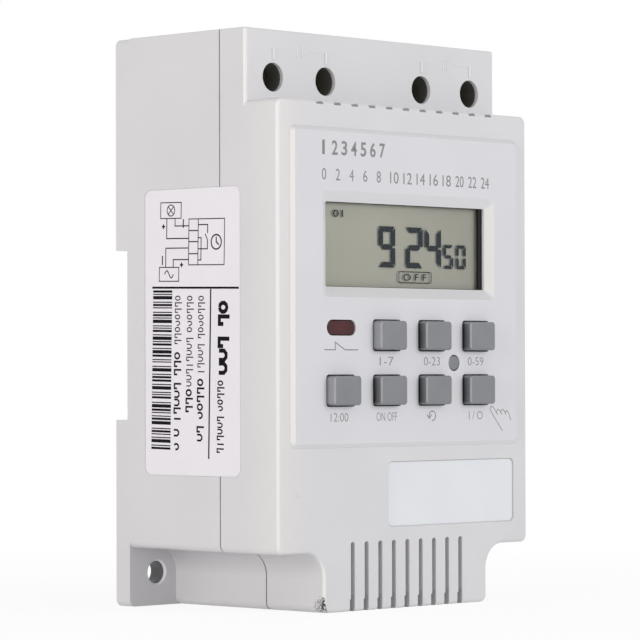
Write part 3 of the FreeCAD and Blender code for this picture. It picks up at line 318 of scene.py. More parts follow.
# Case screws: four zinc-plated steel screws, driven from behind into the front shell's bosses. The
# boards are held by smaller screws of the same kind.
def metal(name, light, dark, patch=3.0, rough=(0.26, 0.42), stretch=(1, 1, 1), depth=0.004):
    """Plated or drawn metal. Its colour and roughness drift together, duller where it is darker, and a
    fine grain shows in the normal, drawn out into scratches along an axis whose stretch is under 1."""
    made = Finish(name)
    drift = stretched(made.tree, noise_of(made.tree, patch, 4.0), 0.35, 0.65)
    made.paint(blended(made.tree, drift, light_of(*dark), light_of(*light)))
    dull = stretched(made.tree, drift, 0.0, 1.0, rough[1], rough[0])
    made.tree.links.new(dull, made.shader.inputs["Roughness"])
    made.shader.inputs["Metallic"].default_value = 1.0
    made.relief(noise_of(made.tree, 0.25, 3.0, stretch), depth)
    return made


zinc_plate = metal("zinc_plate", (206, 207, 210), (168, 170, 174)).material
dress(zinc_plate, "case_screws", "display_board_screws", "main_board_screws")


# Terminals: a dark glass-filled housing with four wells. In each a yellow-passivated screw draws a
# zinc-plated cage forward, and the cage presses the conductor on a tinned brass bar.
block = moulded(
    "terminal_block", (98, 99, 96), (82, 83, 80), patch=5.0, grain=0.3, depth=0.02, gloss=0.55, spread=0.08)
dress(block.material, "terminal_housing")
screw_metal = metal("yellow_zinc", (214, 192, 138), (168, 150, 108), patch=1.6)
cage_metal = metal("cage_zinc", (204, 206, 208), (150, 153, 158), patch=4.0)
bar_metal = metal(
    "tinned_brass", (222, 194, 130), (186, 158, 98), patch=5.0, rough=(0.2, 0.36), stretch=(1, 1, 0.15))
for stem, made in (
        ("terminal_screw", screw_metal), ("terminal_cage", cage_metal), ("terminal_bar", bar_metal)):
    dress(made.material, *["%s_%d" % (stem, k) for k in range(1, 5)])


# Boards: two green lacquered laminates with the copper's tracks showing faintly through the lacquer,
# each held by screws on bosses, and joined by a flat ribbon cable with one red core.
def lacquered(name, light, dark, track):
    """Lacquer over laminate: cells of a boxed Voronoi pattern give the copper areas, their borders the
    gaps between them, and the weave of the glass is a very fine checked relief."""
    made = Finish(name)
    drift = stretched(made.tree, noise_of(made.tree, 9.0), 0.35, 0.65)
    made.paint(blended(made.tree, drift, light_of(*dark), light_of(*light)))
    cells = wire(
        made.tree, "ShaderNodeTexVoronoi", {"Vector": place_in(made.tree), "Scale": 230.0, "Randomness": 0.8},
        feature="F1", distance="CHEBYCHEV").outputs["Distance"]
    made.over(stretched(made.tree, cells, 0.38, 0.42, 0.75, 0.0), track)
    weave = wire(made.tree, "ShaderNodeTexChecker", {"Vector": place_in(made.tree), "Scale": 1800.0})
    made.relief(weave.outputs["Fac"], 0.004)
    made.shader.inputs["Roughness"].default_value = 0.3
    made.shader.inputs["Coat Weight"].default_value = 0.3
    return made


def bands_of(tree, scale):
    """Even waves from left to right, for what is laid side by side."""
    sockets = {"Vector": place_in(tree), "Scale": scale}
    return wire(tree, "ShaderNodeTexWave", sockets, bands_direction="X").outputs["Fac"]


lacquer = lacquered("board_lacquer", (38, 96, 58), (30, 80, 48), track=(52, 122, 74))
dress(lacquer.material, "display_board", "main_board")
ribbon = moulded("ribbon_grey", (150, 152, 156), (138, 140, 144), patch=6.0, grain=0.4, depth=0.01)
red_until, grey_from = -3.8, -3.7
red_core = stretched(ribbon.tree, axes_of(ribbon.tree)[0], red_until / 1000, grey_from / 1000, 1.0, 0.0)
ribbon.over(red_core, (168, 60, 58))
ribbon.relief(bands_of(ribbon.tree, 125.0), 0.25)
dress(ribbon.material, "ribbon_cable")


# Parts soldered on the boards: relay, smoothing capacitor, rectifier, transistor, diode, the clock
# controller under its resin, its crystal, and the cell that keeps the time.
relay_cover = moulded(
    "relay_cover", (44, 74, 132), (36, 62, 116), patch=8.0, grain=0.4, depth=0.01, gloss=0.36)
dress(relay_cover.material, "relay")
sleeve = moulded(
    "capacitor_sleeve", (38, 42, 62), (28, 31, 48), patch=5.0, grain=0.6, depth=0.004, gloss=0.28)
minus_stripe = near_to(sleeve.tree, (21.4, 8.0, 75.0), reach=2.6, squeeze=(1, 0.05, 1))
sleeve.over(minus_stripe, (176, 178, 184))
bare_end = near_to(sleeve.tree, (16.0, 0.0, 75.0), reach=4.3, squeeze=(1, 8, 1))
sleeve.over(bare_end, (190, 191, 194))
dress(sleeve.material, "supply_capacitor")
packed = moulded(
    "packed_epoxy", (48, 47, 48), (36, 36, 38), patch=3.0, grain=0.25, depth=0.02, gloss=0.5, spread=0.1)
dress(packed.material, "bridge_rectifier", "driver_transistor")
diode = moulded("diode_epoxy", (40, 40, 42), (30, 30, 32), patch=2.0, grain=0.2, depth=0.01, gloss=0.4)
end_band = near_to(diode.tree, (26.0, 15.0, 76.0), reach=0.8, squeeze=(0.02, 0.02, 1))
diode.over(end_band, (186, 186, 188))
dress(diode.material, "flyback_diode")
resin = moulded(
    "resin_drop", (30, 30, 31), (20, 20, 22), patch=4.0, grain=1.2, depth=0.02, gloss=0.22, spread=0.08)
dress(resin.material, "controller_blob")
cell_can = metal(
    "cell_can", (208, 207, 202), (172, 171, 166), patch=6.0, rough=(0.22, 0.4), stretch=(1, 0.1, 1))
dress(cell_can.material, "backup_cell")
nickel = metal("nickel_strip", (196, 194, 188), (160, 158, 152), patch=2.0)
dress(nickel.material, "cell_tabs", "watch_crystal")


# Display: two glass plates with the liquid between them, pressed on rubber strips by a black frame.
# Liquid and rear plate look as greenish grey as the film glued behind them, and are dressed so. Dark
# figures stand in the liquid; their shade on the film, a little to the left, is painted as paler copies.
def clear_glass(name, tint, mirror):
    """Window glass: light passes straight through, and a share is mirrored that grows with the fifth power
    of the slant, from `mirror` seen square on; a faint smear wanders in how sharply it mirrors."""
    made = Finish(name)
    output = made.tree.nodes["Material Output"]
    through = wire(made.tree, "ShaderNodeBsdfTransparent", {"Color": light_of(*tint)}).outputs[0]
    smear = stretched(made.tree, noise_of(made.tree, 8.0, 3.0), 0.35, 0.65, 0.02, 0.1)
    mirrored = wire(made.tree, "ShaderNodeBsdfGlossy", {"Roughness": smear}).outputs[0]
    slant = wire(made.tree, "ShaderNodeLayerWeight", {"Blend": 0.5}).outputs["Facing"]
    fifth = wire(made.tree, "ShaderNodeMath", {0: slant, 1: 5.0}, operation="POWER").outputs[0]
    share = stretched(made.tree, fifth, 0.0, 1.0, mirror, 0.8)
    pane = wire(made.tree, "ShaderNodeMixShader", {0: share, 1: through, 2: mirrored}).outputs[0]
    made.tree.links.new(pane, output.inputs["Surface"])
    return made


front_pane = clear_glass("front_pane", (254, 254, 254), mirror=0.02)
dress(front_pane.material, "lcd_front_glass")
film = moulded(
    "display_film", (165, 165, 151), (158, 158, 144),
    patch=14.0, grain=0.2, depth=0.002, gloss=0.4, spread=0.04)
# Painted shade: the film grows darker towards its right side, where the window's right wall shades it.
right_side_painted_shade = near_to(film.tree, (32.0, -20.6, 76.0), reach=40.0, squeeze=(1, 0, 0))
film.over(stretched(film.tree, right_side_painted_shade, 0.0, 1.0, 0.0, 0.9), (144, 143, 131))
dress(film.material, "lcd_rear_glass", "lcd_reflector")
black_frame = moulded(
    "frame_black", (20, 17, 20), (15, 13, 16), patch=5.0, grain=0.3, depth=0.008, gloss=0.5, shine=0.2)
dress(black_frame.material, "lcd_frame")
rubber = moulded("strip_rubber", (72, 72, 75), (58, 58, 61), patch=3.0, grain=0.3, depth=0.01, gloss=0.6)
rubber.over(stretched(rubber.tree, bands_of(rubber.tree, 900.0), 0.4, 0.6), (40, 40, 42))
dress(rubber.material, "zebra_lower", "zebra_upper")


def plates(corners, low, high, place):
    """Flat plates from an array of outlines, shaped (plates, corners, 2): each outline is raised from
    low to high, with its rim closed by one face per side."""
    count, sides, _ = corners.shape
    outlines = np.concatenate([corners, corners], axis=1)
    levels = np.broadcast_to(np.repeat([high, low], sides), outlines.shape[:2])
    base = 2 * sides * np.arange(count)[:, None]
    around = np.arange(sides)
    after = (around + 1) % sides
    rims = np.stack([around, around + sides, after + sides, after], -1)[None] + base[..., None]
    faces = (base + around).tolist() + (base + sides + around[::-1]).tolist() + rims.reshape(-1, 4).tolist()
    return place(outlines[..., 0], outlines[..., 1], levels).reshape(-1, 3), faces


def seven_bars(left, bottom, width, height, stroke, gap, lit):
    """The bars of one figure, as outlines of six corners: a top, a middle and a foot bar, and two
    upright ones to each side, mitred where they meet and parted by a gap. `lit` picks among them."""
    half, s, g = height / 2, stroke, gap
    mitre, point, tip = s + g * 0.4, s * 0.55 + g, s + g
    top = np.array([
        (g, 0), (width / 2, 0), (width - g, 0), (width - mitre, -s), (width / 2, -s), (mitre, -s)])
    upright = np.array([
        (0, -g), (s, -s - g), (s, s / 2 - half + g),
        (s / 2, g / 2 - half), (0, g * 1.6 - half), (0, -half / 2)])
    middle = np.array([
        (point, 0), (tip, s / 2), (width - tip, s / 2),
        (width - point, 0), (width - tip, -s / 2), (tip, -s / 2)])
    flip_across = lambda shape: shape * (-1, 1) + (width, 0)
    flip_up = lambda shape: shape * (1, -1)
    bars = {
        "top": top + (0, height), "foot": flip_up(top), "middle": middle + (0, half),
        "upper_left": upright + (0, height), "upper_right": flip_across(upright) + (0, height),
        "lower_left": flip_up(upright), "lower_right": flip_across(flip_up(upright))}
    return [bars[name] + (left, bottom) for name in lit]


def rounded(left, bottom, right, top, radius, steps=6):
    """The ring of a box with round corners: the four corner centres, each with its quarter circle."""
    turn = np.linspace(0, np.pi / 2, steps)
    quarter = np.arange(4)[:, None] * np.pi / 2 + turn
    inner_left, inner_right = left + radius, right - radius
    inner_low, inner_top = bottom + radius, top - radius
    centres = np.array([
        (inner_right, inner_top), (inner_left, inner_top), (inner_left, inner_low), (inner_right, inner_low)])
    return (centres[:, None] + radius * np.stack([np.cos(quarter), np.sin(quarter)], -1)).reshape(-1, 2)


print_height = 0.018


def figures(
        name, text, left, bottom, height, place, material, length, thickness=print_height, weight=0.0):
    """Plain printed figures: a text curve made a mesh, its figures scaled to the height and along the line
    to the length; `weight` thickens the strokes."""
    curve = bpy.data.curves.new(name, "FONT")
    curve.body, curve.extrude, curve.offset, curve.resolution_u = text, 0.5, weight, 4
    held = bpy.data.objects.new(name, curve)
    bpy.context.scene.collection.objects.link(held)
    bpy.context.view_layer.update()
    mesh = bpy.data.meshes.new_from_object(held.evaluated_get(bpy.context.evaluated_depsgraph_get()))
    bpy.data.objects.remove(held)
    spots = np.empty(3 * len(mesh.vertices))
    mesh.vertices.foreach_get("co", spots)
    spots = spots.reshape(-1, 3)
    low, high = spots.min(0), spots.max(0)
    along = (spots[:, 0] - low[0]) * (length / (high[0] - low[0]))
    up = (spots[:, 1] - low[1]) * (height / (high[1] - low[1]))
    mesh.vertices.foreach_set("co", place(along + left, up + bottom, (spots[:, 2] + 0.5) * thickness).ravel())
    return set_down(name, mesh, material, weld=1e-7)


left_up, left_low, right_up, right_low = "upper_left", "lower_left", "upper_right", "lower_right"
lit_bars = {
    "9": ("top", left_up, right_up, "middle", right_low, "foot"),
    "2": ("top", right_up, "middle", left_low, "foot"),
    "4": (left_up, right_up, "middle", right_low),
    "5": ("top", left_up, "middle", right_low, "foot"),
    "0": ("top", left_up, right_up, left_low, right_low, "foot")}
large_foot, large_height, large_stroke = 71.3, 8.6, 1.15
small_foot, small_height, small_stroke = 71.4, 5.1, 0.7
# Each figure with its left, foot, width, height and stroke.
reading = [
    ("9", -6.36, large_foot, 4.87, large_height, large_stroke),
    ("2", 1.99, large_foot, 5.08, large_height, large_stroke),
    ("4", 7.97, large_foot, 4.88, large_height, large_stroke),
    ("5", 13.75, small_foot, 2.97, small_height, small_stroke),
    ("0", 17.8, small_foot, 2.96, small_height, small_stroke)]
bar_parting, shade_shift = 0.2, 0.5
figure_bars = np.array([
    bar for figure, *where in reading for bar in seven_bars(*where, bar_parting, lit_bars[figure])])
in_liquid, behind_liquid = on_front(46.74), on_front(46.46)


def on_film(across, up, proud):
    """The film's plane, with whatever lies in it moved to the left by the shade's shift."""
    return behind_liquid(across - shade_shift, up, proud)


liquid_outline = np.array([[(-25.4, 66.4), (26.0, 66.4), (26.0, 84.9), (-25.4, 84.9)]])
piece_of("liquid_layer", *plates(liquid_outline, 0.0, 0.03, on_front(46.42)), film.material, "display_film")
dark_liquid = moulded(
    "dark_liquid", (22, 34, 42), (15, 25, 32),
    patch=4.0, grain=0.3, depth=0.001, gloss=0.5, shine=0.15).material
# Painted shadow: paler copies of the figures, the ring and the marks lie on the film as their shade.
shade_on_film = moulded(
    "shade_on_film", (112, 119, 116), (100, 108, 107), patch=4.0, grain=0.3, depth=0.001, gloss=0.4).material
thin_shade = moulded(
    "thin_shade", (142, 145, 135), (134, 137, 129), patch=4.0, grain=0.3, depth=0.001, gloss=0.4).material
layer, mode_ring, dark_slot = 0.01, rounded(-0.4, 68.2, 9.75, 70.5, radius=0.6), "black_plastic"
for kind, place, material, thin in (
        ("figure", in_liquid, dark_liquid, dark_liquid),
        ("figure_shade", on_film, shade_on_film, thin_shade)):
    piece_of("clock_" + kind, *plates(figure_bars, 0.0, layer, place), material, dark_slot)
    strips("mode_ring_" + kind, [mode_ring], 0.16, 0.0, layer, place, material, dark_slot, closed=(0,))
    figures(
        "mode_word_" + kind, "O F F", left=1.0, bottom=68.62, height=1.45, length=7.2,
        place=place, material=thin, thickness=layer)
    figures(
        "day_mark_" + kind, "01", left=-20.3, bottom=81.4, height=1.5, length=3.0,
        place=place, material=thin, thickness=layer)


# Display panel: a separate raised plate of the same plastic as the case, with bevelled rims round the
# plate and the window, snapped into the front shell and carrying grey printed figures and signs.
panel = moulded(
    "panel_plastic", (220, 220, 224), (216, 216, 220), patch=20.0, grain=0.5, depth=0.004, gloss=0.36)
# Painted light and shade on the panel's bevels: faces turned to the left and faces turned down are painted
# lighter, as highlights, and faces turned up are painted darker, as shade, most of all on the window's lower
# bevel.
aslant = 0.2, 0.6
panel.over(facing(panel.tree, to_left, *aslant), (235, 233, 230))
panel.over(facing(panel.tree, (0, 0, -1), *aslant), (228, 228, 231))
upward_painted_shade = facing(panel.tree, (0, 0, 1), *aslant)
panel.over(upward_painted_shade, (214, 214, 217))
in_window = inside_box(panel.tree, (-32.0, -24.0, 55.0), (32.0, -14.0, 95.0))
panel.over(both(panel.tree, upward_painted_shade, in_window), (208, 208, 209))
dress(panel.material, "display_panel")
on_case, seat_path = on_front(48.6), rounded(-34.95, 33.75, 34.95, 99.65, radius=1.65, steps=10)
seat_line = strip_along(seat_path, width=0.2, low=-0.8, high=-0.05, place=on_case, closed=True)
piece_of("panel_seat", *seat_line, case.material, "case_plastic")

ink = moulded(
    "grey_ink", (140, 139, 141), (124, 123, 126), patch=1.2, grain=0.3, depth=0.003, gloss=0.5).material
on_panel, panel_slot, stroke = on_front(49.4), "panel_plastic", 0.22


def lettered(name, text, left, foot, height, length, weight=0.0):
    """Grey figures on the panel: from the left and the foot, as high and as long as the numbers say."""
    figures(name, text, left, foot, height, on_panel, ink, length, weight=weight)


day_left, day_pitch, day_foot, day_tall, day_weight = -26.2, 2.85, 93.95, 3.0, 0.02
for day in range(1, 8):
    left, length = day_left + (day - 1) * day_pitch, 0.75 if day == 1 else 1.7
    lettered("day_%d" % day, str(day), left, day_foot, day_tall, length, day_weight)
hour_left, hour_right, hour_foot, hour_tall, one_wide, two_wide = -26.3, 25.3, 88.75, 2.4, 1.25, 2.6
hours = range(0, 25, 2)
hour_pitch = (hour_right - hour_left - two_wide) / (len(hours) - 1)
for number, hour in enumerate(hours):
    left, length = hour_left + number * hour_pitch, one_wide if hour < 10 else two_wide
    lettered("hour_%d" % hour, str(hour), left, hour_foot, hour_tall, length)


def ring(across, up, radius, start=0.0, end=360.0, steps=33):
    """Points round a circle between two angles in degrees, its centre and radius in millimetres."""
    turn = np.radians(np.linspace(start, end, steps))
    return np.stack([across + radius * np.cos(turn), up + radius * np.sin(turn)], -1)


def sign(name, paths, width=stroke):
    """A grey sign drawn in lines on the panel."""
    strips(name, paths, width, 0.0, print_height, on_panel, ink, panel_slot)


def caption(name, text, left, foot, length, height=1.75, weight=-0.012):
    """The figures under a key, low and in thin strokes."""
    lettered(name, text, left, foot, height, length, weight)


upper_row, lower_row = 50.75, 39.2
sign("switch_sign", [[(-25.7, 53.95), (-22.5, 53.95), (-22.5, 55.5), (-19.6, 53.95), (-15.75, 53.95)]])
caption("week_caption", "1-7", -9.2, upper_row, 4.2)
caption("hour_caption", "0-23", 4.4, upper_row, 5.0)
caption("minute_caption", "0-59", 18.3, upper_row, 5.0)
caption("clock_caption", "12:00", -23.9, lower_row, 5.2)
caption("timer_caption", "ON OFF", -10.2, lower_row, 6.3)
arrow_bow = ring(7.0, 40.1, 1.0, start=200, end=-100, steps=25)
arrow_head = [(5.3, 40.35), (6.05, 39.55), (6.75, 40.4)]
sign("back_arrow", [arrow_bow, arrow_head])
caption("manual_caption", "I / O", 18.6, lower_row, 4.4)
sign("pointing_hand", [
    [(29.5, 36.6), (25.9, 40.6), (25.45, 41.35), (25.7, 42.0), (26.4, 41.85), (28.0, 40.1)],
    [(27.5, 40.7), (27.9, 41.3), (28.5, 41.1), (29.3, 40.2)],
    [(28.9, 40.7), (29.4, 41.3), (30.1, 40.9), (30.7, 40.1)],
    [(30.3, 40.6), (30.9, 41.0), (31.5, 40.5), (32.2, 38.9)]], width=0.17)


# Keys and reset button: satin grey caps with a flange behind the panel, standing on one grey rubber mat
# whose domes spring them back. Painted on the caps: a highlight on their rounded left front edges,
# painted light on the left flanks of three caps, and painted shade on the left flanks of the other five,
# darkening towards the panel.
key_face, key_foot = -25.6, -23.7
lit_flank_caps = "key_clock", "key_week", "reset_button"
shaded_flank_caps = "key_timer", "key_recall", "key_manual", "key_hour", "key_minute"
# Each cap's left flank is painted: lighter on the three caps with lit flanks, and on the five others with
# painted shade that darkens towards the panel. Last comes a painted highlight on the rounded left front edge.
for name, flank, foot, caps in (
        ("key_grey", (147, 149, 153), (144, 146, 150), lit_flank_caps),
        ("key_grey_shaded_flanks", (117, 119, 122), (50, 51, 53), shaded_flank_caps)):
    keys = moulded(
        name, (129, 131, 135), (123, 125, 129), patch=5.0, grain=0.4, depth=0.008, gloss=0.34, spread=0.06)
    on_flank = facing(keys.tree, to_left, *squarely)
    inward = stretched(keys.tree, axes_of(keys.tree)[1], key_face / 1000, key_foot / 1000)
    keys.over(on_flank, flank)
    keys.over(both(keys.tree, on_flank, inward), foot)
    keys.over(facing(keys.tree, left_front, *squarely), (162, 164, 168))
    dress(keys.material, *caps)
mat = moulded("mat_rubber", (168, 170, 174), (156, 158, 162), patch=6.0, grain=0.4, depth=0.01, gloss=0.65)
dress(mat.material, "key_mat")


# Lamp: a dark red translucent lens with rounded ends, moulded and snapped into the panel. Behind it
# stands a small clear red lamp, cast in resin and soldered to the board.
lens = moulded(
    "lamp_lens", (58, 34, 38), (50, 29, 33),
    patch=2.5, grain=0.3, depth=0.002, gloss=0.2, spread=0.04, shine=0.25)
# Painted light: the lens is brighter and redder round its middle, fading over 6 mm towards its rim.
lens_painted_light = near_to(lens.tree, (-20.65, -23.2, 58.5), reach=6.0, squeeze=(1.0, 0.3, 2.0))
lens.over(lens_painted_light, (84, 34, 36))
dress(lens.material, "lamp_lens")
lamp = moulded("lamp_body", (196, 84, 78), (172, 70, 66), patch=2.0, grain=0.3, depth=0.001, gloss=0.12)
dress(lamp.material, "lamp_led")


# Labels: white film with a satin skin. The one at the side carries a wiring plan, rules, a plain stripe
# code and lines of signs printed in black; the one on the front is blank and lies in a shallow recess.
paper = moulded(
    "label_film", (239, 235, 240), (235, 231, 236),
    patch=12.0, grain=0.6, depth=0.002, gloss=0.4, spread=0.04)
dress(paper.material, "side_label")
blank = moulded(
    "blank_film", (230, 233, 236), (226, 228, 233),
    patch=12.0, grain=0.6, depth=0.002, gloss=0.36, spread=0.04)
dress(blank.material, "front_label")
black_ink = moulded(
    "black_ink", (20, 18, 22), (14, 12, 15),
    patch=0.8, grain=0.3, depth=0.002, gloss=0.6, shine=0.08).material
paper_slot = "side_label_paper"


def on_label(forward, up, proud):
    """Forward of the rear, up and proud of the label's skin, as a place in metres. The print runs about a
    degree askew, turned round a place near the label's lower rear corner."""
    slant, pivot_forward, pivot_up, skin = 0.02, 11.0, 38.0, -38.37
    along = forward + slant * (up - pivot_up)
    level = up - slant * (forward - pivot_forward)
    return np.stack([skin - proud, rear_face - along, level], axis=-1) / 1000


def printed(name, lefts, bottoms, widths, heights):
    """Black rectangles on the side label, as one piece: each measure is one number or a row of them."""
    lefts, bottoms, widths, heights = np.broadcast_arrays(lefts, bottoms, widths, heights)
    unit = np.array([(0, 0), (1, 0), (1, 1), (0, 1)])
    outlines = np.stack([lefts, bottoms], -1)[:, None] + unit * np.stack([widths, heights], -1)[:, None]
    piece_of(name, *plates(outlines, 0.0, print_height, on_label), black_ink, paper_slot)


printed("label_rules", [10.9, 28.35], [66.95, 31.9], [25.9, 0.38], [0.43, 35.0])

# The widths of the stripes and of the gaps after them, in modules, are chosen freely and mean nothing.
code_bars = np.array(list("2131121321123121131221311123121312113121121312")).astype(int)
code_gaps = np.array(list("1212113112111311212112131211211121121113112111")).astype(int)
code_low, code_high, code_left, code_width = 33.4, 66.6, 11.2, 5.8
module = (code_high - code_low) / (code_bars.sum() + code_gaps[:-1].sum())
bar_starts = code_low + module * np.concatenate([[0], np.cumsum(code_bars + code_gaps)[:-1]])
printed("stripe_code", code_left, bar_starts, code_width, module * code_bars)


def letter_like(across, top, tall, wide, form):
    """The path of a sign that only looks like a letter, its foot at `across` and its near side at `top`:
    a hoop, an arch, a tall stem, a hooked stem or an open bowl, on a grid of 0 to 1 both ways."""
    turn = np.linspace(0, 2 * np.pi, 11)
    hoop = np.stack([0.36 - 0.36 * np.cos(turn), 0.5 + 0.5 * np.sin(turn)], -1)
    arch = np.array([(0, 0), (0.5, 0), (0.7, 0.3), (0.7, 0.7), (0.5, 1), (0, 1)])
    stem = np.array([(0, 0.5), (1, 0.5)])
    hook = np.array([(1, 0.1), (0, 0.1), (0, 0.9), (0.4, 0.9)])
    forms = [hoop, arch, stem, hook, hoop[2:10]]
    grid = forms[form % len(forms)]
    return np.stack([across + tall * grid[:, 0], top - wide * grid[:, 1]], -1)


def words_like(name, across, top, counts, tall, wide, gap, width):
    """A line read from the top down: each number is a word's count of signs, taken from the forms in turn."""
    paths, near_side = [], top
    for word, count in enumerate(counts):
        for number in range(count):
            form = 3 * word + 2 * number + number * number
            paths.append(letter_like(across, near_side, tall, wide, form))
            near_side -= wide + gap
        near_side -= wide
    strips(name, paths, width, 0.0, print_height, on_label, black_ink, paper_slot)


thin_type = dict(tall=1.95, wide=0.85, gap=0.45, width=0.24)
bold_type = dict(tall=2.0, wide=1.2, gap=0.5, width=0.4)
words_like("words_one", 25.0, 65.4, (7, 5), **thin_type)
words_like("words_one_bold", 25.0, 48.2, (5, 2), **bold_type)
words_like("words_two", 21.6, 65.4, (6, 8), **thin_type)
words_like("words_two_bold", 21.6, 46.0, (3,), **bold_type)
words_like("words_three", 18.0, 65.4, (8,), **thin_type)
words_like("words_three_bold", 18.0, 53.6, (3, 5, 1, 1), **bold_type)
words_like("heading_bold", 31.2, 64.1, (2, 3), tall=3.0, wide=1.9, gap=0.75, width=0.86)
words_like("heading_thin", 31.0, 48.0, (5, 6), tall=1.95, wide=0.85, gap=0.45, width=0.31)


# Wiring plan on the side label: two outer boxes for load and supply, their wires, a strip of four
# clamps, and the timer's box with the switch that it closes.
def plan(name, paths, width=0.23, closed=()):
    """Lines of the wiring plan, printed black on the label."""
    strips(name, paths, width, 0.0, print_height, on_label, black_ink, paper_slot, closed)


def frame_of(left, bottom, right, top):
    """The four corners of a drawn box, as a closed path."""
    return [(left, bottom), (right, bottom), (right, top), (left, top)]


load_box, supply_box = frame_of(13.2, 81.6, 19.4, 84.9), frame_of(13.0, 68.5, 18.9, 71.4)
clamp_box, timer_box = frame_of(21.8, 71.9, 24.6, 81.4), frame_of(24.6, 71.9, 32.4, 81.4)
plan("plan_boxes", [load_box, supply_box, clamp_box, timer_box], width=0.2, closed=(0, 1, 2, 3))
plan("plan_clamps", [[(21.8, level), (24.6, level)] for level in (79.0, 76.7, 74.2)])
plan("plan_wires", [
    [(15.1, 81.6), (15.1, 77.4), (21.8, 77.4)], [(17.6, 81.6), (17.6, 80.0), (21.8, 80.0)],
    [(14.9, 71.4), (14.9, 75.4), (21.8, 75.4)], [(17.2, 71.4), (17.2, 73.0), (21.8, 73.0)]])
plan("plan_switch", [
    [(24.6, 80.2), (27.4, 80.2), (27.4, 78.4)], [(26.7, 78.3), (27.4, 77.0), (27.4, 75.2), (24.6, 75.2)],
    [(24.6, 77.5), (25.5, 77.5), (25.5, 72.9), (24.6, 72.9)]])
plan("plan_signs", [
    [(13.6, 79.9), (14.6, 79.9)], [(14.1, 79.4), (14.1, 80.4)], [(20.1, 79.6), (20.1, 81.4)],
    [(13.9, 71.9), (13.9, 73.8)], [(19.2, 71.9), (20.2, 71.9)], [(19.7, 71.4), (19.7, 72.4)]], width=0.3)
load_cross = [[(15.5, 82.45), (17.1, 84.05)], [(15.5, 84.05), (17.1, 82.45)]]
plan("plan_load", [ring(16.3, 83.25, 1.15, end=348, steps=30)] + load_cross, width=0.2, closed=(0,))
wave = np.linspace(0, 2 * np.pi, 21)
plan("plan_supply", [np.stack([14.6 + 2.7 * wave / (2 * np.pi), 69.95 + 0.75 * np.sin(wave)], -1)])
clock_hands = [(30.0, 77.7), (30.0, 76.6), (30.8, 76.0)]
plan("plan_clock", [ring(30.0, 76.6, 1.5, end=348, steps=30), clock_hands], width=0.3, closed=(0,))


# Rail latch: a dark satin slide that snaps up under the rail. Its spring, seven turns of steel wire, stands
# on a stop of the rear shell; it is wound here at one length, and the real one is pressed shorter as the
# latch is pulled down.
latch = moulded("latch_grey", (64, 65, 67), (54, 55, 57), patch=6.0, grain=0.4, depth=0.01, gloss=0.4)
dress(latch.material, "rail_latch")
spring_wire = metal("spring_wire", (196, 197, 200), (150, 151, 154), patch=1.0, rough=(0.22, 0.34)).material


def coil(turns, radius, wire_radius, foot, top, axis_depth, coil_steps=253, rim_steps=12):
    """A wound wire as a grid: the centre line climbs evenly from foot to top round an upright axis, and
    each place on it carries a ring, set out from the line's outward and upward directions."""
    turn = np.linspace(0, 2 * np.pi * turns, coil_steps)[:, None]
    rise = (top - foot - 2 * wire_radius) / turn[-1, 0]
    outward = np.hstack([np.cos(turn), np.sin(turn), 0 * turn])
    along = np.hstack([-radius * np.sin(turn), radius * np.cos(turn), rise + 0 * turn])
    along /= np.linalg.norm(along, axis=1, keepdims=True)
    upward_painted_shade = np.cross(outward, along)
    line = radius * outward + np.hstack([0 * turn, axis_depth + 0 * turn, foot + wire_radius + rise * turn])
    rim = np.linspace(0, 2 * np.pi, rim_steps, endpoint=False)[None, :, None]
    corners = line[:, None] + wire_radius * (np.cos(rim) * outward[:, None] + np.sin(rim) * upward_painted_shade[:, None])
    first = rim_steps * np.arange(coil_steps - 1)[:, None]
    second = first + rim_steps
    around = np.arange(rim_steps)
    after = (around + 1) % rim_steps
    sides = np.stack([first + around, first + after, second + after, second + around], -1)
    ends = [around.tolist(), (rim_steps * (coil_steps - 1) + around[::-1]).tolist()]
    return corners.reshape(-1, 3) / 1000, sides.reshape(-1, 4).tolist() + ends


spring_low, spring_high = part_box("latch_spring")
spring_turns, spring_radius, wire_radius = 7, 1.3, 0.225
spring_foot, spring_length, latch_travel = 17.0, 13.0, 3.0
spring_axis = 500 * (spring_low[1] + spring_high[1])
wound = coil(spring_turns, spring_radius, wire_radius, spring_foot, spring_foot + spring_length, spring_axis)
spring = piece_of("wound_spring", *wound, spring_wire, "spring_steel")
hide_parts("latch_spring")
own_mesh(spring)


# Floor, daylight and camera: the timer stands on a pale table in soft light from the left and the front,
# seen from half left, a little under the middle of its height. Floor, lamps and camera are in metres.
stage_finish = Finish("pale_floor")
floor_tree = stage_finish.tree
drift = noise_of(floor_tree, 60.0)
stage_finish.paint(blended(floor_tree, drift, light_of(246, 246, 246), light_of(250, 250, 250)))
stage_finish.shader.inputs["Roughness"].default_value = 0.9
stage_finish.shader.inputs["Specular IOR Level"].default_value = 0.1
plain_white = wire(floor_tree, "ShaderNodeEmission", {"Color": (1, 1, 1, 1), "Strength": 1.0}).outputs[0]


def seen_ray(tree):
    """1 for rays from the camera, a mirror or glass, which see the backdrop itself, and 0 for light."""
    rays = wire(tree, "ShaderNodeLightPath").outputs
    seen = rays["Is Camera Ray"]
    for kind in ("Is Glossy Ray", "Is Transmission Ray"):
        seen = wire(tree, "ShaderNodeMath", {0: seen, 1: rays[kind]}, operation="MAXIMUM").outputs[0]
    return seen


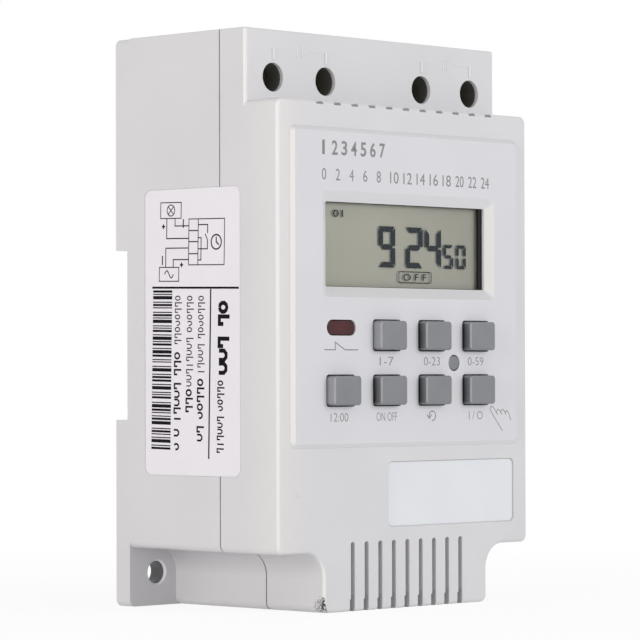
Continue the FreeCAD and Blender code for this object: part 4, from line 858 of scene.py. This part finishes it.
shadow_reach, far_white, near_white = 260.0, 1.0, 0.88
by_the_timer = near_to(floor_tree, (0, 0, 0), shadow_reach)
whiteness = stretched(floor_tree, by_the_timer, 0.0, 1.0, far_white, near_white)
share = both(floor_tree, seen_ray(floor_tree), whiteness)
lit_floor = stage_finish.shader.outputs[0]
laid = wire(floor_tree, "ShaderNodeMixShader", {0: share, 1: lit_floor, 2: plain_white}).outputs[0]
floor_tree.links.new(laid, floor_tree.nodes["Material Output"].inputs["Surface"])
floor_reach = 3.0
floor_corners = [(x * floor_reach, y * floor_reach, 0.0) for x, y in ((-1, -1), (1, -1), (1, 1), (-1, 1))]
floor_mesh = bpy.data.meshes.new("floor")
floor_mesh.from_pydata(floor_corners, [], [(0, 1, 2, 3)])
floor_mesh.materials.append(stage_finish.material)
floor = bpy.data.objects.new("floor", floor_mesh)
bpy.context.scene.collection.objects.link(floor)

world = bpy.data.worlds.new("daylight")
bpy.context.scene.world = world
world.use_nodes = True
sky_tree = world.node_tree
sky = sky_tree.nodes["Background"]
sky.inputs["Color"].default_value = (1, 1, 1, 1)
sky_light, backdrop_white = 0.54, 1.0
sky_tree.links.new(
    stretched(sky_tree, seen_ray(sky_tree), 0.0, 1.0, sky_light, backdrop_white), sky.inputs["Strength"])


def soft_lamp(name, place, power, colour, size=0.6, aim=(0, 0, 0.06)):
    """A square lamp of that size in metres, turned from its place to face the aim."""
    light = bpy.data.lights.new(name, "AREA")
    light.size, light.energy, light.color = size, power, colour
    held = bpy.data.objects.new(name, light)
    held.location = place
    way = np.array(aim) - np.array(place)
    level = np.hypot(way[0], way[1])
    held.rotation_euler = (np.arctan2(level, -way[2]), 0.0, np.arctan2(way[1], way[0]) - np.pi / 2)
    bpy.context.scene.collection.objects.link(held)


soft_lamp("side_light", (-1.5, -0.2, 0.35), power=7.85, colour=(1.0, 0.965, 0.945))
soft_lamp("front_light", (0.6, -1.35, 0.5), power=7.55, colour=(0.985, 0.985, 1.0))

camera_data = bpy.data.cameras.new("camera")
camera_data.sensor_width, camera_data.lens = 36.0, 189.48
camera = bpy.data.objects.new("camera", camera_data)
camera.location = (-0.51983, -0.50311, 0.04882)
camera.rotation_euler = (radians(90.932), radians(0.145), radians(-45.784))
bpy.context.scene.collection.objects.link(camera)
bpy.context.scene.camera = camera
bpy.context.scene.view_settings.view_transform = "Standard"
